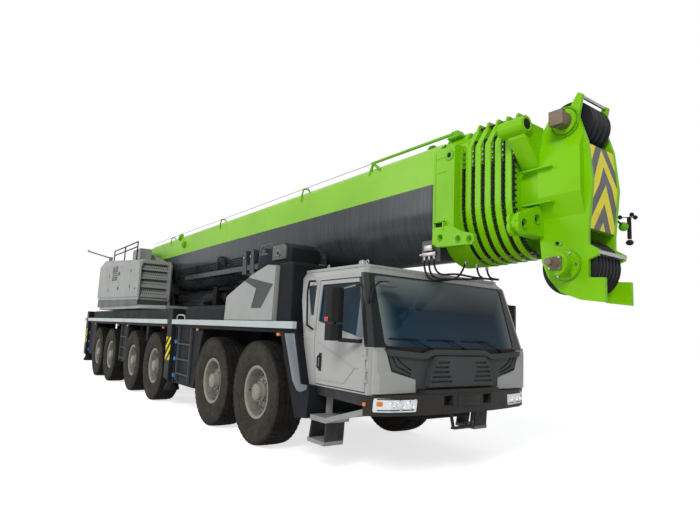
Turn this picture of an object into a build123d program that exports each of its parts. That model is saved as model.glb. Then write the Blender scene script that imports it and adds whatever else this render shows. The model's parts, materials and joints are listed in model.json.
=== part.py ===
from build123d import *
import math
import os

# A six-axle all-terrain mobile crane in its travelling state, in millimetres.
# X points forward, Y to the left, Z up. While modelling, X is measured from the
# first axle; the last section moves everything so that X = 0 is mid-length.

# ------------------------------------------------------------------- clearances
FIT = 0.3                       # still joint between two pieces
PLAY = 0.8                      # sliding or turning joint between two pieces

# ---------------------------------------------------------------- running gear
AXLE_X = (0, -1650, -5000, -6800, -9200, -10850)
STEERED = (1, 2, 5, 6)
DRIVEN = (2, 4, 5, 6)
TYRE_R = 740
TYRE_W = 445
TRACK_Y = 1275                  # wheel centre plane from the middle
RIM_R = 357.5                   # seat of the tyre bead
BEAD_HALF = 160
FLANGE_R = 378
WHEEL_Z = TYRE_R
KINGPIN_Y = 980
KINGPIN_R = 38
SPINDLE_R = 61
HUB_R = 190
HUB_IN = 90                     # hub's inner face from the wheel's centre plane
SPINDLE_DEPTH = 150             # bore in the hub
DRUM_R = 185
NUTS = 10
NUT_CIRCLE_R = 167.5
HOLES = 10                      # hand holes in the wheel disc
HOLE_CIRCLE_R = 245
BEAM_HALF = 85
BEAM_REACH = 720                # half length of an unsteered beam
TUBE_R = 80
FORK_HALF = 75
BOWL_R = 205
STRUT_Y = 560
STRUT_R = 62

# --------------------------------------------------------------------- chassis
FRAME_HALF = 480
FRAME_Z = (980, 1600)
STRUT_TOP = FRAME_Z[1] - 220
FRAME_REAR = -13050
FRAME_STEP_X = 1150             # where the girder drops under the cab
NOSE_X = 2300
CAB_FLOOR = 985
NOSE_Z = (640, CAB_FLOOR - FIT)
BODY_HALF = 1500
DECK_Z = (1605, 1665)
RAIL_TOP = 1760
RAIL_W = 60
DECK_FRONT = 1020
DECK_REAR = -13300
TAIL_BOTTOM = 1250
SKIRT_BOTTOM = 500
SKIRT_IN = 1135                 # inner face of the tanks and lockers
BOX_TOP = 1990                  # boxes on the rear deck
FRONT_BOX_TOP = 2020
HOUSING_Y = (620, BODY_HALF - 20)
TOWER_Y = (560, BODY_HALF - 60)
GUARD_Y = (620, BODY_HALF - 15)

# ------------------------------------------------------------------ outriggers
BEAM_W = 300
BEAM_Z = (1010, 1340)
BEAM_WALL = 25
BEAM_GAP = 8                    # beam to tunnel, with slide pads between
BEAM_PITCH = 420                # left beam beside right beam
FRONT_BEAM_X = -4030            # right-hand beam
REAR_BEAM_X = -12880
BOX_HALF = 1130
POST_Y = BODY_HALF - 165
POST_HALF = 150
POST_ROOM = 10                  # between a post and the deck round it
POST_TOP = 1985
POST_BOTTOM = 560
JACK_R = 105
FOOT_R = 150
FOOT_Z = (330, 460)
FOOT_PLATE = 40
POST_CORNER = 25

# ------------------------------------------------------------------------- cab
CAB_WALL = 50
DOOR_WALL = 25
CAB_REAR = 860
CAB_SIDE_Z = (CAB_FLOOR, 1480, 2350, 2440)
CAB_FRONT = (2500, 2500, 2235, 2150)
CAB_HALF = (1380, 1380, 1290, 1220)
CAB_CORNER = (25, 60)           # flat on the cab's front corners, along X and Y
ROOF_TOP = 2462
ROOF_LIP = 18
DOOR_GAP = 12
DOOR_FRONT = 2436
GLASS_T = 8
GLASS_SET = 14                  # glass behind the outer skin
HINGE_X = DOOR_FRONT + 4
HINGE_Y = CAB_HALF[0] + 16
HINGE_R = 14
CHEEK_FRONT = 2556              # light corner pieces on the cab's face
PANEL_FRONT = 2570
GRILLE_FRONT = 2610
BUMPER_Z = (764, 1030)
BUMPER_FRONT = 2700
MIRROR_Y = (1505, 1690)

# -------------------------------------------------------------- superstructure
SLEW_X = -8000
BASE_REAR = -11700
BASE_FRONT = -6300
BASE_HALF = (1380, 900)         # at the housings and at the front end
PAD_TOP = 2140                  # seat for counterweight slabs
SEAT_R = 1100
RING_R = 1050
SEAT_TOP = 1850
RING_TOP = 2030
BASE_TOP = 2120
SIDE_PLATE_Y = (610, 650)       # plates that carry the boom
PIVOT_X = -10300
PIVOT_Z = 3450
PIVOT_R = 110
LUFF_FOOT_X = -7900
LUFF_Z = 2365
LUFF_EYE_X = -2300
LUFF_PIN_R = 80
BARREL_R = 200
ROD_R = 140
BARREL_END = -4250
HOUSE_REAR = -11850
HOUSE_FRONT = -6950
LEFT_HOUSE_FRONT = -8500
HOUSE_SIDE = 1450
HOUSE_FLOOR = 2330
DRUM_X = -11100
DRUM_Z = 2640
DRUM_HALF = 520
DRUM_SHAFT_R = 60

# ------------------------------------------------------------------------ boom
BOOM_HALF = 500
BOOM_TOP = 4000
BOOM_BOTTOM = 2590
BOOM_WALL = 14
BOOM_STEP = 30                  # each section is this much smaller all round
BOOM_CORNER = (70, 70)          # cut top corner, along Y and Z
ARC_TURN = 35                   # side arc of the rounded belly, in degrees
BOOM_REAR = -9500
COLLAR_X = (2650, 2994)
COLLAR_OUT = 12                 # collar and rings beyond the base section's side
COLLAR_RISE = 50                # and above its top
COLLAR_DROP = 80                # and below its belly
COLLAR_CORNER = (150, 250)
SECTIONS = 5                    # sliding sections with a ring, before the tip
RING_LEN = 75
RING_GAP = 57
RING_STEP = 6                   # each ring is this much smaller than the one behind
TIP_HALF = 270                  # outside of the head's side plates
TIP_PLATE = 40
HEAD_X = (3850, 4520)
TOP_PIN = (4150, 3860)
LOW_PIN = (4140, 2390)
HEAD_PIN_R = 90
HEAD_PIN_OUT = 450
JIB_BORE_R = 45

os.makedirs("parts", exist_ok=True)


# --------------------------------------------------------------------- helpers
def drawn(axis, at, outline):
    """Face across an axis. A point of two numbers ends a straight line, and one of
    four ends an arc: the point it runs through, then its end."""
    spot = {
        "x": lambda a, b: (at, a, b),
        "y": lambda a, b: (a, at, b),
        "z": lambda a, b: (a, b, at),
    }[axis]
    edges = []
    here = outline[0][-2:]
    for step in outline[1:] + outline[:1]:
        there = step[-2:]
        if len(step) == 2:
            edges.append(Edge.make_line(spot(*here), spot(*there)))
        else:
            edges.append(Edge.make_three_point_arc(spot(*here), spot(*step[:2]), spot(*there)))
        here = there
    return Face(Wire(edges))


def prism(axis, outline, low, high):
    """Straight solid: outline in the two other axes, from low to high on axis."""
    way = {"x": Vector(1, 0, 0), "y": Vector(0, 1, 0), "z": Vector(0, 0, 1)}[axis]
    return Solid.extrude(drawn(axis, low, outline), way * (high - low))


def block(x, y, z):
    """Box between two corners, each axis as (low, high)."""
    corner = [(x[0], y[0]), (x[1], y[0]), (x[1], y[1]), (x[0], y[1])]
    return prism("z", corner, z[0], z[1])


def on_side(sign, low, high):
    """Range across the vehicle on the right (-1) or left (1) side, in order."""
    return sorted((sign * low, sign * high))


def rod(axis, radius, low, high, a, b):
    """Cylinder along axis from low to high, at a and b on the other two axes."""
    origin = {"x": (low, a, b), "y": (a, low, b), "z": (a, b, low)}[axis]
    way = {"x": (1, 0, 0), "y": (0, 1, 0), "z": (0, 0, 1)}[axis]
    return Solid.make_cylinder(radius, high - low, Plane(origin=origin, z_dir=way))


def bar(start, end, radius):
    """Round bar between two points."""
    way = Vector(*end) - Vector(*start)
    return Solid.make_cylinder(radius, way.length, Plane(origin=start, z_dir=way))


def spun(outline, x, y, z):
    """Solid of revolution about an axle: outline as (radius, offset along Y)."""
    solid = Solid.revolve(drawn("z", 0, outline), 360, Axis.Y)
    return solid.moved(Location((x, y, z)))


def mirrored(shape):
    """The same piece on the other side of the vehicle."""
    return shape.mirror(Plane.XZ)


def joined(*shapes):
    """One piece from touching or crossing shapes."""
    return Part() + list(shapes)


def shrunk(outline, by):
    """Convex outline, anticlockwise, moved inwards by a constant distance."""
    sides = []
    for (ax, ay), (bx, by_) in zip(outline, outline[1:] + outline[:1]):
        length = math.hypot(bx - ax, by_ - ay)
        nx, ny = -(by_ - ay) / length, (bx - ax) / length
        sides.append((nx, ny, nx * ax + ny * ay + by))
    corners = []
    for (n1x, n1y, c1), (n2x, n2y, c2) in zip(sides[-1:] + sides[:-1], sides):
        det = n1x * n2y - n1y * n2x
        corners.append(((c1 * n2y - c2 * n1y) / det, (n1x * c2 - n2x * c1) / det))
    return corners


def rounded(outline, radius):
    """The same outline with each corner turned by an arc."""
    steps = []
    for before, here, after in zip(outline[-1:] + outline[:-1], outline, outline[1:] + outline[:1]):
        corner = Vector(*here)
        back = (Vector(*before) - corner).normalized()
        ahead = (Vector(*after) - corner).normalized()
        half = math.radians(back.get_angle(ahead) / 2)
        reach = radius / math.tan(half)
        middle = corner + (back + ahead).normalized() * (radius / math.sin(half) - radius)
        start = corner + back * reach
        end = corner + ahead * reach
        steps.append((start.X, start.Y))
        steps.append((middle.X, middle.Y, end.X, end.Y))
    return steps


pieces = {}


def keep(node, *shapes):
    """Store the solids of one node."""
    pieces[node] = list(shapes)


# ---------------------------------------------------------------------- wheels
TYRE_OUTLINE = [
    (RIM_R, -BEAD_HALF), (382, -BEAD_HALF), (430, -205), (560, -TYRE_W / 2),
    (680, -212), (725, -190), (TYRE_R, -160), (TYRE_R, 160), (725, 190),
    (680, 212), (560, TYRE_W / 2), (430, 205), (382, BEAD_HALF), (RIM_R, BEAD_HALF),
]
BARREL_IN = 325                 # inside of the rim
DISC_Y = 52                     # face that the nuts clamp
# Rim, disc and hub in one: hub cap, nut face, dished disc, rim gutter, rim well, bore.
RIM_OUTLINE = [
    (0, 204), (70, 204), (104, 198, 118, 168), (118, 120), (138, 112), (138, DISC_Y),
    (205, DISC_Y), (270, 20), (BARREL_IN - 15, 70), (BARREL_IN + 3, 150), (338, 178),
    (FLANGE_R, 178), (FLANGE_R, BEAD_HALF + FIT), (RIM_R - FIT, BEAD_HALF + FIT),
    (RIM_R - FIT, -BEAD_HALF - FIT), (FLANGE_R, -BEAD_HALF - FIT), (FLANGE_R, -178),
    (338, -178), (BARREL_IN, -150), (BARREL_IN, 0), (270, -8), (HUB_R, 20),
    (HUB_R, -HUB_IN), (SPINDLE_R + FIT, -HUB_IN),
    (SPINDLE_R + FIT, SPINDLE_DEPTH - HUB_IN), (0, SPINDLE_DEPTH - HUB_IN),
]


def on_circle(count, radius):
    """Points round the wheel's centre, as (x, z)."""
    turns = [2 * math.pi * index / count for index in range(count)]
    return [(radius * math.cos(turn), radius * math.sin(turn)) for turn in turns]


def wheel_rim():
    """Left-hand rim about the origin, with its nuts and hand holes."""
    nuts = [rod("y", 17, DISC_Y - 2, DISC_Y + 26, x, z) for x, z in on_circle(NUTS, NUT_CIRCLE_R)]
    holes = [rod("y", 23, -40, 90, x, z) for x, z in on_circle(HOLES, HOLE_CIRCLE_R)]
    return joined(spun(RIM_OUTLINE, 0, 0, 0), *nuts) - holes


left_tyre = spun(TYRE_OUTLINE, 0, 0, 0)
left_rim = wheel_rim()
for number, axle_x in enumerate(AXLE_X, 1):
    spot = Location((axle_x, TRACK_Y, WHEEL_Z))
    tyre, rim = left_tyre.moved(spot), left_rim.moved(spot)
    keep(f"wheel_{number}_left", tyre, rim)
    keep(f"wheel_{number}_right", mirrored(tyre), mirrored(rim))


# ------------------------------------------------------- knuckles and the axles
LUG_Z = ((WHEEL_Z - 160, WHEEL_Z - 120), (WHEEL_Z + 120, WHEEL_Z + 160))
LUG_IN = 830
BOSS_R = 80
DRUM_Y = (KINGPIN_Y + 95, TRACK_Y - HUB_IN - 5)
SPINDLE_END = TRACK_Y - HUB_IN + SPINDLE_DEPTH - 3


def knuckle(x):
    """Left-hand steering knuckle: kingpin boss and pin, drum and wheel spindle."""
    boss = rod("z", BOSS_R, LUG_Z[0][1] + 5, LUG_Z[1][0] - 5, x, KINGPIN_Y)
    pin = rod("z", KINGPIN_R, LUG_Z[0][0] - 4, LUG_Z[1][1] + 4, x, KINGPIN_Y)
    drum = rod("y", DRUM_R, DRUM_Y[0], DRUM_Y[1], x, WHEEL_Z)
    spindle = rod("y", SPINDLE_R, KINGPIN_Y, SPINDLE_END, x, WHEEL_Z)
    return joined(boss, pin, drum, spindle)


def beam_end(x, steered):
    """Left-hand end of an axle beam: a fork for the kingpin, or a fixed spindle."""
    if not steered:
        tube = rod("y", TUBE_R, BEAM_REACH - 20, DRUM_Y[0], x, WHEEL_Z)
        drum = rod("y", DRUM_R, DRUM_Y[0], DRUM_Y[1], x, WHEEL_Z)
        spindle = rod("y", SPINDLE_R, DRUM_Y[0], SPINDLE_END, x, WHEEL_Z)
        return [tube, drum, spindle]
    wide = (x - FORK_HALF, x + FORK_HALF)
    plate = block(wide, (LUG_IN, LUG_IN + 60), (LUG_Z[0][0], LUG_Z[1][1]))
    lugs = []
    for low, high in LUG_Z:
        lug = joined(
            block(wide, (LUG_IN, KINGPIN_Y), (low, high)),
            rod("z", FORK_HALF, low, high, x, KINGPIN_Y))
        lugs.append(lug - rod("z", KINGPIN_R + FIT, low - 1, high + 1, x, KINGPIN_Y))
    return [plate] + lugs


def axle(x, steered, driven):
    """Rigid axle: beam, forks or spindles, differential bowl and two struts."""
    end = beam_end(x, steered)
    reach = LUG_IN + 10 if steered else BEAM_REACH
    edge = BEAM_HALF - 25
    beam = prism("y", [
        (x - 70, WHEEL_Z - edge), (x - 50, WHEEL_Z - BEAM_HALF), (x + 50, WHEEL_Z - BEAM_HALF),
        (x + 70, WHEEL_Z - edge), (x + 70, WHEEL_Z + edge), (x + 50, WHEEL_Z + BEAM_HALF),
        (x - 50, WHEEL_Z + BEAM_HALF), (x - 70, WHEEL_Z + edge),
    ], -reach, reach)
    parts = [beam] + end + [mirrored(piece) for piece in end]
    if driven:
        bowl_y = 120
        parts.append(rod("x", BOWL_R, x - 110, x + 110, bowl_y, WHEEL_Z))
        parts.append(Solid.make_cone(
            BOWL_R, 95, 70, Plane(origin=(x + 110, bowl_y, WHEEL_Z), z_dir=(1, 0, 0))))
        parts.append(Solid.make_cone(
            BOWL_R, 120, 60, Plane(origin=(x - 110, bowl_y, WHEEL_Z), z_dir=(-1, 0, 0))))
        parts.append(rod("x", 60, x + 170, x + 260, bowl_y, WHEEL_Z))
    for sign in (-1, 1):
        parts.append(rod("z", STRUT_R, WHEEL_Z + 60, STRUT_TOP, x, sign * STRUT_Y))
        parts.append(rod("z", STRUT_R + 14, WHEEL_Z + 60, STRUT_TOP - 260, x, sign * STRUT_Y))
    return joined(*parts)


for number in STEERED:
    keep(f"knuckle_{number}_left", knuckle(AXLE_X[number - 1]))
    keep(f"knuckle_{number}_right", mirrored(knuckle(AXLE_X[number - 1])))
keep("axle_beams", *[
    axle(x, number in STEERED, number in DRIVEN) for number, x in enumerate(AXLE_X, 1)
])

# --------------------------------------------------------------------- chassis
STATIONS = {"front": FRONT_BEAM_X, "rear": REAR_BEAM_X}
SIGNS = {"right": -1, "left": 1}


def beam_x(station, side):
    """Middle of an outrigger beam: the left one lies beside the right one."""
    return STATIONS[station] + (BEAM_PITCH if side == "left" else 0)


girder = prism("y", [
    (FRAME_REAR, FRAME_Z[0]), (FRAME_STEP_X - 250, FRAME_Z[0]), (FRAME_STEP_X, NOSE_Z[0]),
    (NOSE_X, NOSE_Z[0]), (NOSE_X, NOSE_Z[1]), (FRAME_STEP_X + 90, NOSE_Z[1]),
    (FRAME_STEP_X - 250, FRAME_Z[1]), (FRAME_REAR, FRAME_Z[1]),
], -FRAME_HALF, FRAME_HALF)
ring_seat = rod("z", SEAT_R, FRAME_Z[1] - 10, SEAT_TOP, SLEW_X, 0)
strut_seats = []
for x in AXLE_X:
    for sign in (-1, 1):
        strut_seats.append(block(
            (x - 110, x + 110), on_side(sign, FRAME_HALF - 10, STRUT_Y + 80),
            (STRUT_TOP, FRAME_Z[1])))
tunnel_shells = []
tunnels = []
for station in STATIONS:
    low_x = beam_x(station, "right") - BEAM_W / 2
    high_x = beam_x(station, "left") + BEAM_W / 2
    rim = BEAM_GAP + BEAM_WALL
    tunnel_shells.append(block(
        (low_x - rim, high_x + rim), (-BOX_HALF, BOX_HALF), (BEAM_Z[0] - rim, BEAM_Z[1] + rim)))
    for side in SIGNS:
        middle = beam_x(station, side)
        tunnels.append(block(
            (middle - BEAM_W / 2 - BEAM_GAP, middle + BEAM_W / 2 + BEAM_GAP),
            (-BOX_HALF - 1, BOX_HALF + 1), (BEAM_Z[0] - PLAY, BEAM_Z[1] + BEAM_GAP)))
frame = joined(girder, ring_seat, *strut_seats, *tunnel_shells) - tunnels
keep("chassis_frame", frame)

# ------------------------------------------------------------------ outriggers
for station in STATIONS:
    for side in SIGNS:
        x = beam_x(station, side)
        half = BEAM_W / 2
        beam = block((x - half, x + half), (-POST_Y, BOX_HALF - 80), BEAM_Z)
        post = prism("z", rounded([
            (x - POST_HALF, -POST_Y - POST_HALF), (x + POST_HALF, -POST_Y - POST_HALF),
            (x + POST_HALF, -POST_Y + POST_HALF), (x - POST_HALF, -POST_Y + POST_HALF),
        ], POST_CORNER), POST_BOTTOM, POST_TOP)
        collar = rod("z", JACK_R + 35, POST_BOTTOM - 30, POST_BOTTOM + 5, x, -POST_Y)
        bore = rod("z", JACK_R + PLAY, POST_BOTTOM - 31, POST_TOP - 40, x, -POST_Y)
        arm = joined(beam, post, collar) - bore
        foot = Solid.make_cone(
            FOOT_R, JACK_R + 5, FOOT_Z[1] - FOOT_Z[0] - FOOT_PLATE,
            Plane(origin=(x, -POST_Y, FOOT_Z[0] + FOOT_PLATE), z_dir=(0, 0, 1)))
        jack = joined(
            rod("z", JACK_R, FOOT_Z[0] + 10, POST_TOP - 60, x, -POST_Y),
            rod("z", FOOT_R, FOOT_Z[0], FOOT_Z[0] + FOOT_PLATE, x, -POST_Y), foot)
        if side == "left":
            arm, jack = mirrored(arm), mirrored(jack)
        keep(f"outrigger_{station}_{side}", arm)
        keep(f"jack_{station}_{side}", jack)

# ------------------------------------------------------------ deck and bodywork
POST_REACH = POST_HALF + POST_ROOM
DECK_EDGE = BODY_HALF - RAIL_W
SKIRT_OUT = DECK_EDGE - 40


def skirt_rows(side):
    """Outlines (x, z) of the tanks and lockers that hang from the deck on one side."""
    front_post = beam_x("front", side) + POST_REACH
    rear_post = beam_x("rear", side) + POST_REACH
    top = DECK_Z[0]
    return (
        # tank behind axle 2, with a face that leans with the wheel arch
        [(front_post, SKIRT_BOTTOM), (-2640, SKIRT_BOTTOM), (-2370, 1570), (-2360, top), (front_post, top)],
        # bracket between axles 3 and 4
        [(-5960, 1250), (-5840, 1250), (-5810, top), (-5990, top)],
        # locker between axles 4 and 5
        [(-8290, 620), (-7660, 620), (-7660, 1000), (-7560, top), (-8440, top), (-8290, 1000)],
        # locker behind axle 6
        [(rear_post, 600), (-11900, 600), (-11800, 1000), (-11680, top), (rear_post, top)],
    )


# Ladders on the sides: rear and front upright, lowest point, treads.
LADDERS = {
    "right": ((-3590, -2900, 560, (700, 980, 1280)), (-8270, -7690, 640, (720, 1000, 1280))),
    "left": ((-3430, -2900, 560, (700, 980, 1280)), (-8270, -7690, 640, (720, 1000, 1280))),
}
UPRIGHT = 30


def ladder(sign, rear, front, low, treads):
    """Two uprights with flat treads, hung from the deck's edge."""
    y = on_side(sign, SKIRT_OUT, DECK_EDGE)
    parts = [block((x, x + UPRIGHT), y, (low, DECK_Z[0])) for x in (rear, front)]
    parts += [block((rear, front + UPRIGHT), y, (z - 14, z + 14)) for z in treads]
    return parts


def deck_side(side):
    """Deck plates, tail panel, lockers and ladders on one side, open at the posts."""
    sign = SIGNS[side]
    front_post, rear_post = beam_x("front", side), beam_x("rear", side)
    post_edge = POST_Y - POST_REACH
    wide = on_side(sign, FRAME_HALF + FIT, DECK_EDGE)
    rail_y = on_side(sign, DECK_EDGE + FIT, BODY_HALF)
    tail = block((DECK_REAR, DECK_REAR + 50), wide, (TAIL_BOTTOM, DECK_Z[0]))
    ring_hole = rod("z", SEAT_R + FIT, DECK_Z[0] - 40, RAIL_TOP + 1, SLEW_X, 0)
    plates = []
    rails = []
    for rear, front in (
        (DECK_REAR, rear_post - POST_REACH), (rear_post + POST_REACH, front_post - POST_REACH),
        (front_post + POST_REACH, DECK_FRONT),
    ):
        plates.append(block((rear, front), wide, (DECK_Z[0], RAIL_TOP)) - ring_hole)
        rails.append(block((rear, front), rail_y, (DECK_Z[1], RAIL_TOP)))
    plates[0] = joined(plates[0], tail)
    for post in (rear_post, front_post):
        inner = on_side(sign, FRAME_HALF + FIT, post_edge)
        plates.append(block((post - POST_REACH, post + POST_REACH), inner, (DECK_Z[0], RAIL_TOP)))
    skirts = [prism("y", outline, *on_side(sign, SKIRT_IN, SKIRT_OUT)) for outline in skirt_rows(side)]
    for index, row in zip((0, 2), LADDERS[side]):
        skirts[index] = joined(skirts[index], *ladder(sign, *row))
    return plates + skirts, rails


rails = []
decks = []
for side in SIGNS:
    side_decks, side_rails = deck_side(side)
    decks.extend(side_decks)
    rails.extend(side_rails)
keep("decks", *decks)
keep("side_rails", *rails)

# Boxes standing on the deck: front and rear X, inner and outer Y, top Z.
DECK_FACE = RAIL_TOP + FIT
BOX_OUT = DECK_EDGE - 40
box_rows = (
    (DECK_REAR + 150, REAR_BEAM_X - POST_HALF - 25, 520, BOX_OUT, BOX_TOP),
    (REAR_BEAM_X + POST_HALF + 25 + BEAM_PITCH, SLEW_X - 1300, 520, BOX_OUT, BOX_TOP),
    (SLEW_X - 1290, SLEW_X + 1290, SEAT_R + 60, BOX_OUT, BOX_TOP),
    (SLEW_X + 1300, FRONT_BEAM_X - POST_HALF - 25, 520, BOX_OUT, BOX_TOP),
    (-3300, -1350, 560, BOX_OUT + 20, FRONT_BOX_TOP),
)
boxes = []
for rear, front, inner, outer, top in box_rows:
    section = [
        (inner, DECK_FACE), (outer, DECK_FACE), (outer, top - 60), (outer - 40, top), (inner, top),
    ]
    form = prism("x", section, rear, front)
    boxes.extend([form, mirrored(form)])
# Housing behind the cab on each side, with a sloping rear top edge and a sunk arrow.
HOUSING = [
    (-1280, DECK_FACE), (400, DECK_FACE), (440, 2550), (160, 2580),
    (-330, 2470), (-1130, 2200), (-1240, 2150),
]
ARROW = [(-616, 2453), (-621, 2390), (-153, 2244), (-291, 1950), (36, 1946), (376, 2284)]
ARROW_DEPTH = 8
TOWER = [(450, DECK_FACE), (850, DECK_FACE), (850, 2540), (815, 2575), (470, 2575)]
FACE_BEVEL = 14


def bevelled(solid, face_y):
    """The solid with the edges of its outer face bevelled."""
    rim = [edge for edge in solid.edges() if abs(edge.center().Y - face_y) < 1]
    return solid.chamfer(FACE_BEVEL, None, rim)


housing = bevelled(prism("y", HOUSING, *HOUSING_Y), HOUSING_Y[1])
housing = housing - prism("y", ARROW, HOUSING_Y[1] - ARROW_DEPTH, HOUSING_Y[1] + 1)
tower = bevelled(prism("y", TOWER, *TOWER_Y), TOWER_Y[1])
keep("deck_housings", housing, mirrored(housing))
keep("deck_boxes", *boxes, tower, mirrored(tower))

# Engine under the front deck, as one closed mass between the frame's top plates.
keep("engine_block", block((-1100, 300), (-460, 460), (FRAME_Z[1] + FIT, 2350)))

# Slanted mudguard between the first wheel and the cab, with a band down its side.
GUARD = [
    (1164, 560), (1446, 593), (1470, CAB_FLOOR - FIT), (1302, CAB_FLOOR - FIT),
    (1084, DECK_Z[0] - FIT), (680, DECK_Z[0] - FIT),
]
guard = prism("y", GUARD, *GUARD_Y)
keep("mudguards", guard, mirrored(guard))


# ------------------------------------------------------------------------- cab
def cab_outline(front, half, inset):
    """Plan of the cab at one level, anticlockwise, with its front corners cut."""
    front, half, rear = front - inset, half - inset, CAB_REAR + inset
    cut_x, cut_y = CAB_CORNER
    return [
        (rear, -half), (front - cut_x, -half), (front, -half + cut_y),
        (front, half - cut_y), (front - cut_x, half), (rear, half),
    ]


REAR_LINE = [
    (1330, CAB_SIDE_Z[0] - 60), (2800, CAB_SIDE_Z[0] - 60), (2800, CAB_SIDE_Z[3] + 60),
    (865, CAB_SIDE_Z[3] + 60), (930, 2050),
]


def cab_form(inset):
    """Closed form of the cab, inset by a wall from every face."""
    levels = list(CAB_SIDE_Z)
    levels[0] += inset
    levels[-1] -= inset
    wires = []
    for z, front, half in zip(levels, CAB_FRONT, CAB_HALF):
        outline = cab_outline(front, half, inset)
        wires.append(Wire.make_polygon([(x, y, z) for x, y in outline], close=True))
    spans = [Solid.make_loft([low, high], True) for low, high in zip(wires, wires[1:])]
    rear = shrunk(REAR_LINE, inset)
    return joined(*spans) & prism("y", rear, -CAB_HALF[0] - 5, CAB_HALF[0] + 5)


OUTSIDE = CAB_HALF[0] + 20
FACE_X = CAB_FRONT[0]
outer_form = cab_form(0)
DOOR = [(1440, 1000), (DOOR_FRONT, 1000), (DOOR_FRONT, 1490), (2190, 2300), (1320, 2300), (1360, 1560)]
DOOR_GLASS = [(1395, 1775), (2330, 1588), (2358, 1610), (2160, 2240), (1385, 2240)]
QUARTER_GLASS = [(1200, 1850), (1270, 1850), (1250, 2240), (1040, 2240)]
WINDSHIELD = [(-1157, 1516), (1157, 1516), (1159, 2337), (-1159, 2337)]
SCREEN_CORNER = 60
REAR_WINDOW = ((800, 1200), (-500, 500), (1800, 2250))


def screen(inset):
    """Windshield opening, its outline moved inwards."""
    return prism("x", rounded(shrunk(WINDSHIELD, inset), SCREEN_CORNER - inset), 2000, 2600)


def across(outline, sign=0):
    """Cut through both sides of the cab, or through one of them."""
    if sign == 0:
        return prism("y", outline, -OUTSIDE, OUTSIDE)
    return prism("y", outline, *on_side(sign, 1000, OUTSIDE))


floor = block(
    (CAB_REAR, FACE_X), (CAB_WALL - CAB_HALF[0], CAB_HALF[0] - CAB_WALL),
    (CAB_FLOOR - 1, CAB_FLOOR + CAB_WALL))
shell = outer_form - cab_form(CAB_WALL)
shell = shell - (across(DOOR) - floor) - across(QUARTER_GLASS) - screen(0) - block(*REAR_WINDOW)
roof_half = CAB_HALF[3] + ROOF_LIP
roof_front = CAB_FRONT[3] + ROOF_LIP
roof = prism("z", [
    (CAB_REAR + 20, -roof_half), (roof_front - 40, -roof_half), (roof_front, -roof_half + 90),
    (roof_front, roof_half - 90), (roof_front - 40, roof_half), (CAB_REAR + 20, roof_half),
], CAB_SIDE_Z[3] - 12, ROOF_TOP)
HINGE_ROWS = ((1150, 1230), (1400, 1480))
hinges = []
for low, high in HINGE_ROWS:
    for z in ((low - 40, low - FIT), (high + FIT, high + 40)):
        ear = rod("z", HINGE_R, z[0], z[1], HINGE_X, HINGE_Y)
        leaf = block((HINGE_X, HINGE_X + 30), (CAB_HALF[0] - 40, HINGE_Y), z)
        hinges.extend([ear, leaf, mirrored(ear), mirrored(leaf)])

# Face of the cab: dark panel in the middle, light cheeks at its sides.
PANEL = [
    (-740, 1036), (740, 1036), (745, 1145), (1100, 1235), (1195, 1485), (600, 1442),
    (455, 1490), (-455, 1490), (-600, 1442), (-1195, 1485), (-1100, 1235), (-745, 1145),
]
CHEEK_PLAN = [
    (FACE_X - 5, -1345), (FACE_X + 25, -1335), (CHEEK_FRONT, -1280), (CHEEK_FRONT, 1280),
    (FACE_X + 25, 1335), (FACE_X - 5, 1345),
]
CHEEK_SIDE = [
    (FACE_X - 5, 1000), (CHEEK_FRONT, 1000), (CHEEK_FRONT, 1200), (CHEEK_FRONT - 16, 1245),
    (CHEEK_FRONT - 16, 1450), (FACE_X + 5, 1495), (FACE_X - 5, 1495),
]
CHEEK = [
    (-1350, 1000), (-740 - FIT, 1000), (-745 - FIT, 1145 - FIT), (-1100 - FIT, 1235 - FIT),
    (-1199 - FIT, 1495), (-1350, 1495),
]
cheek = prism("z", CHEEK_PLAN, 1000, 1500) & prism("y", CHEEK_SIDE, -1400, 1400)
cheek = cheek & prism("x", CHEEK, FACE_X - 5, CHEEK_FRONT)
keep("cab_shell", joined(shell, roof, cheek, mirrored(cheek), *hinges))

pane_form = cab_form(GLASS_SET) - cab_form(GLASS_SET + GLASS_T)
rear_pane = block(*[(low + FIT, high - FIT) for low, high in REAR_WINDOW])
panes = []
for cut in (screen(FIT), rear_pane, *(across(shrunk(QUARTER_GLASS, FIT), s) for s in (-1, 1))):
    panes.extend((pane_form & cut).solids())
keep("cab_glass", *panes)

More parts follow.
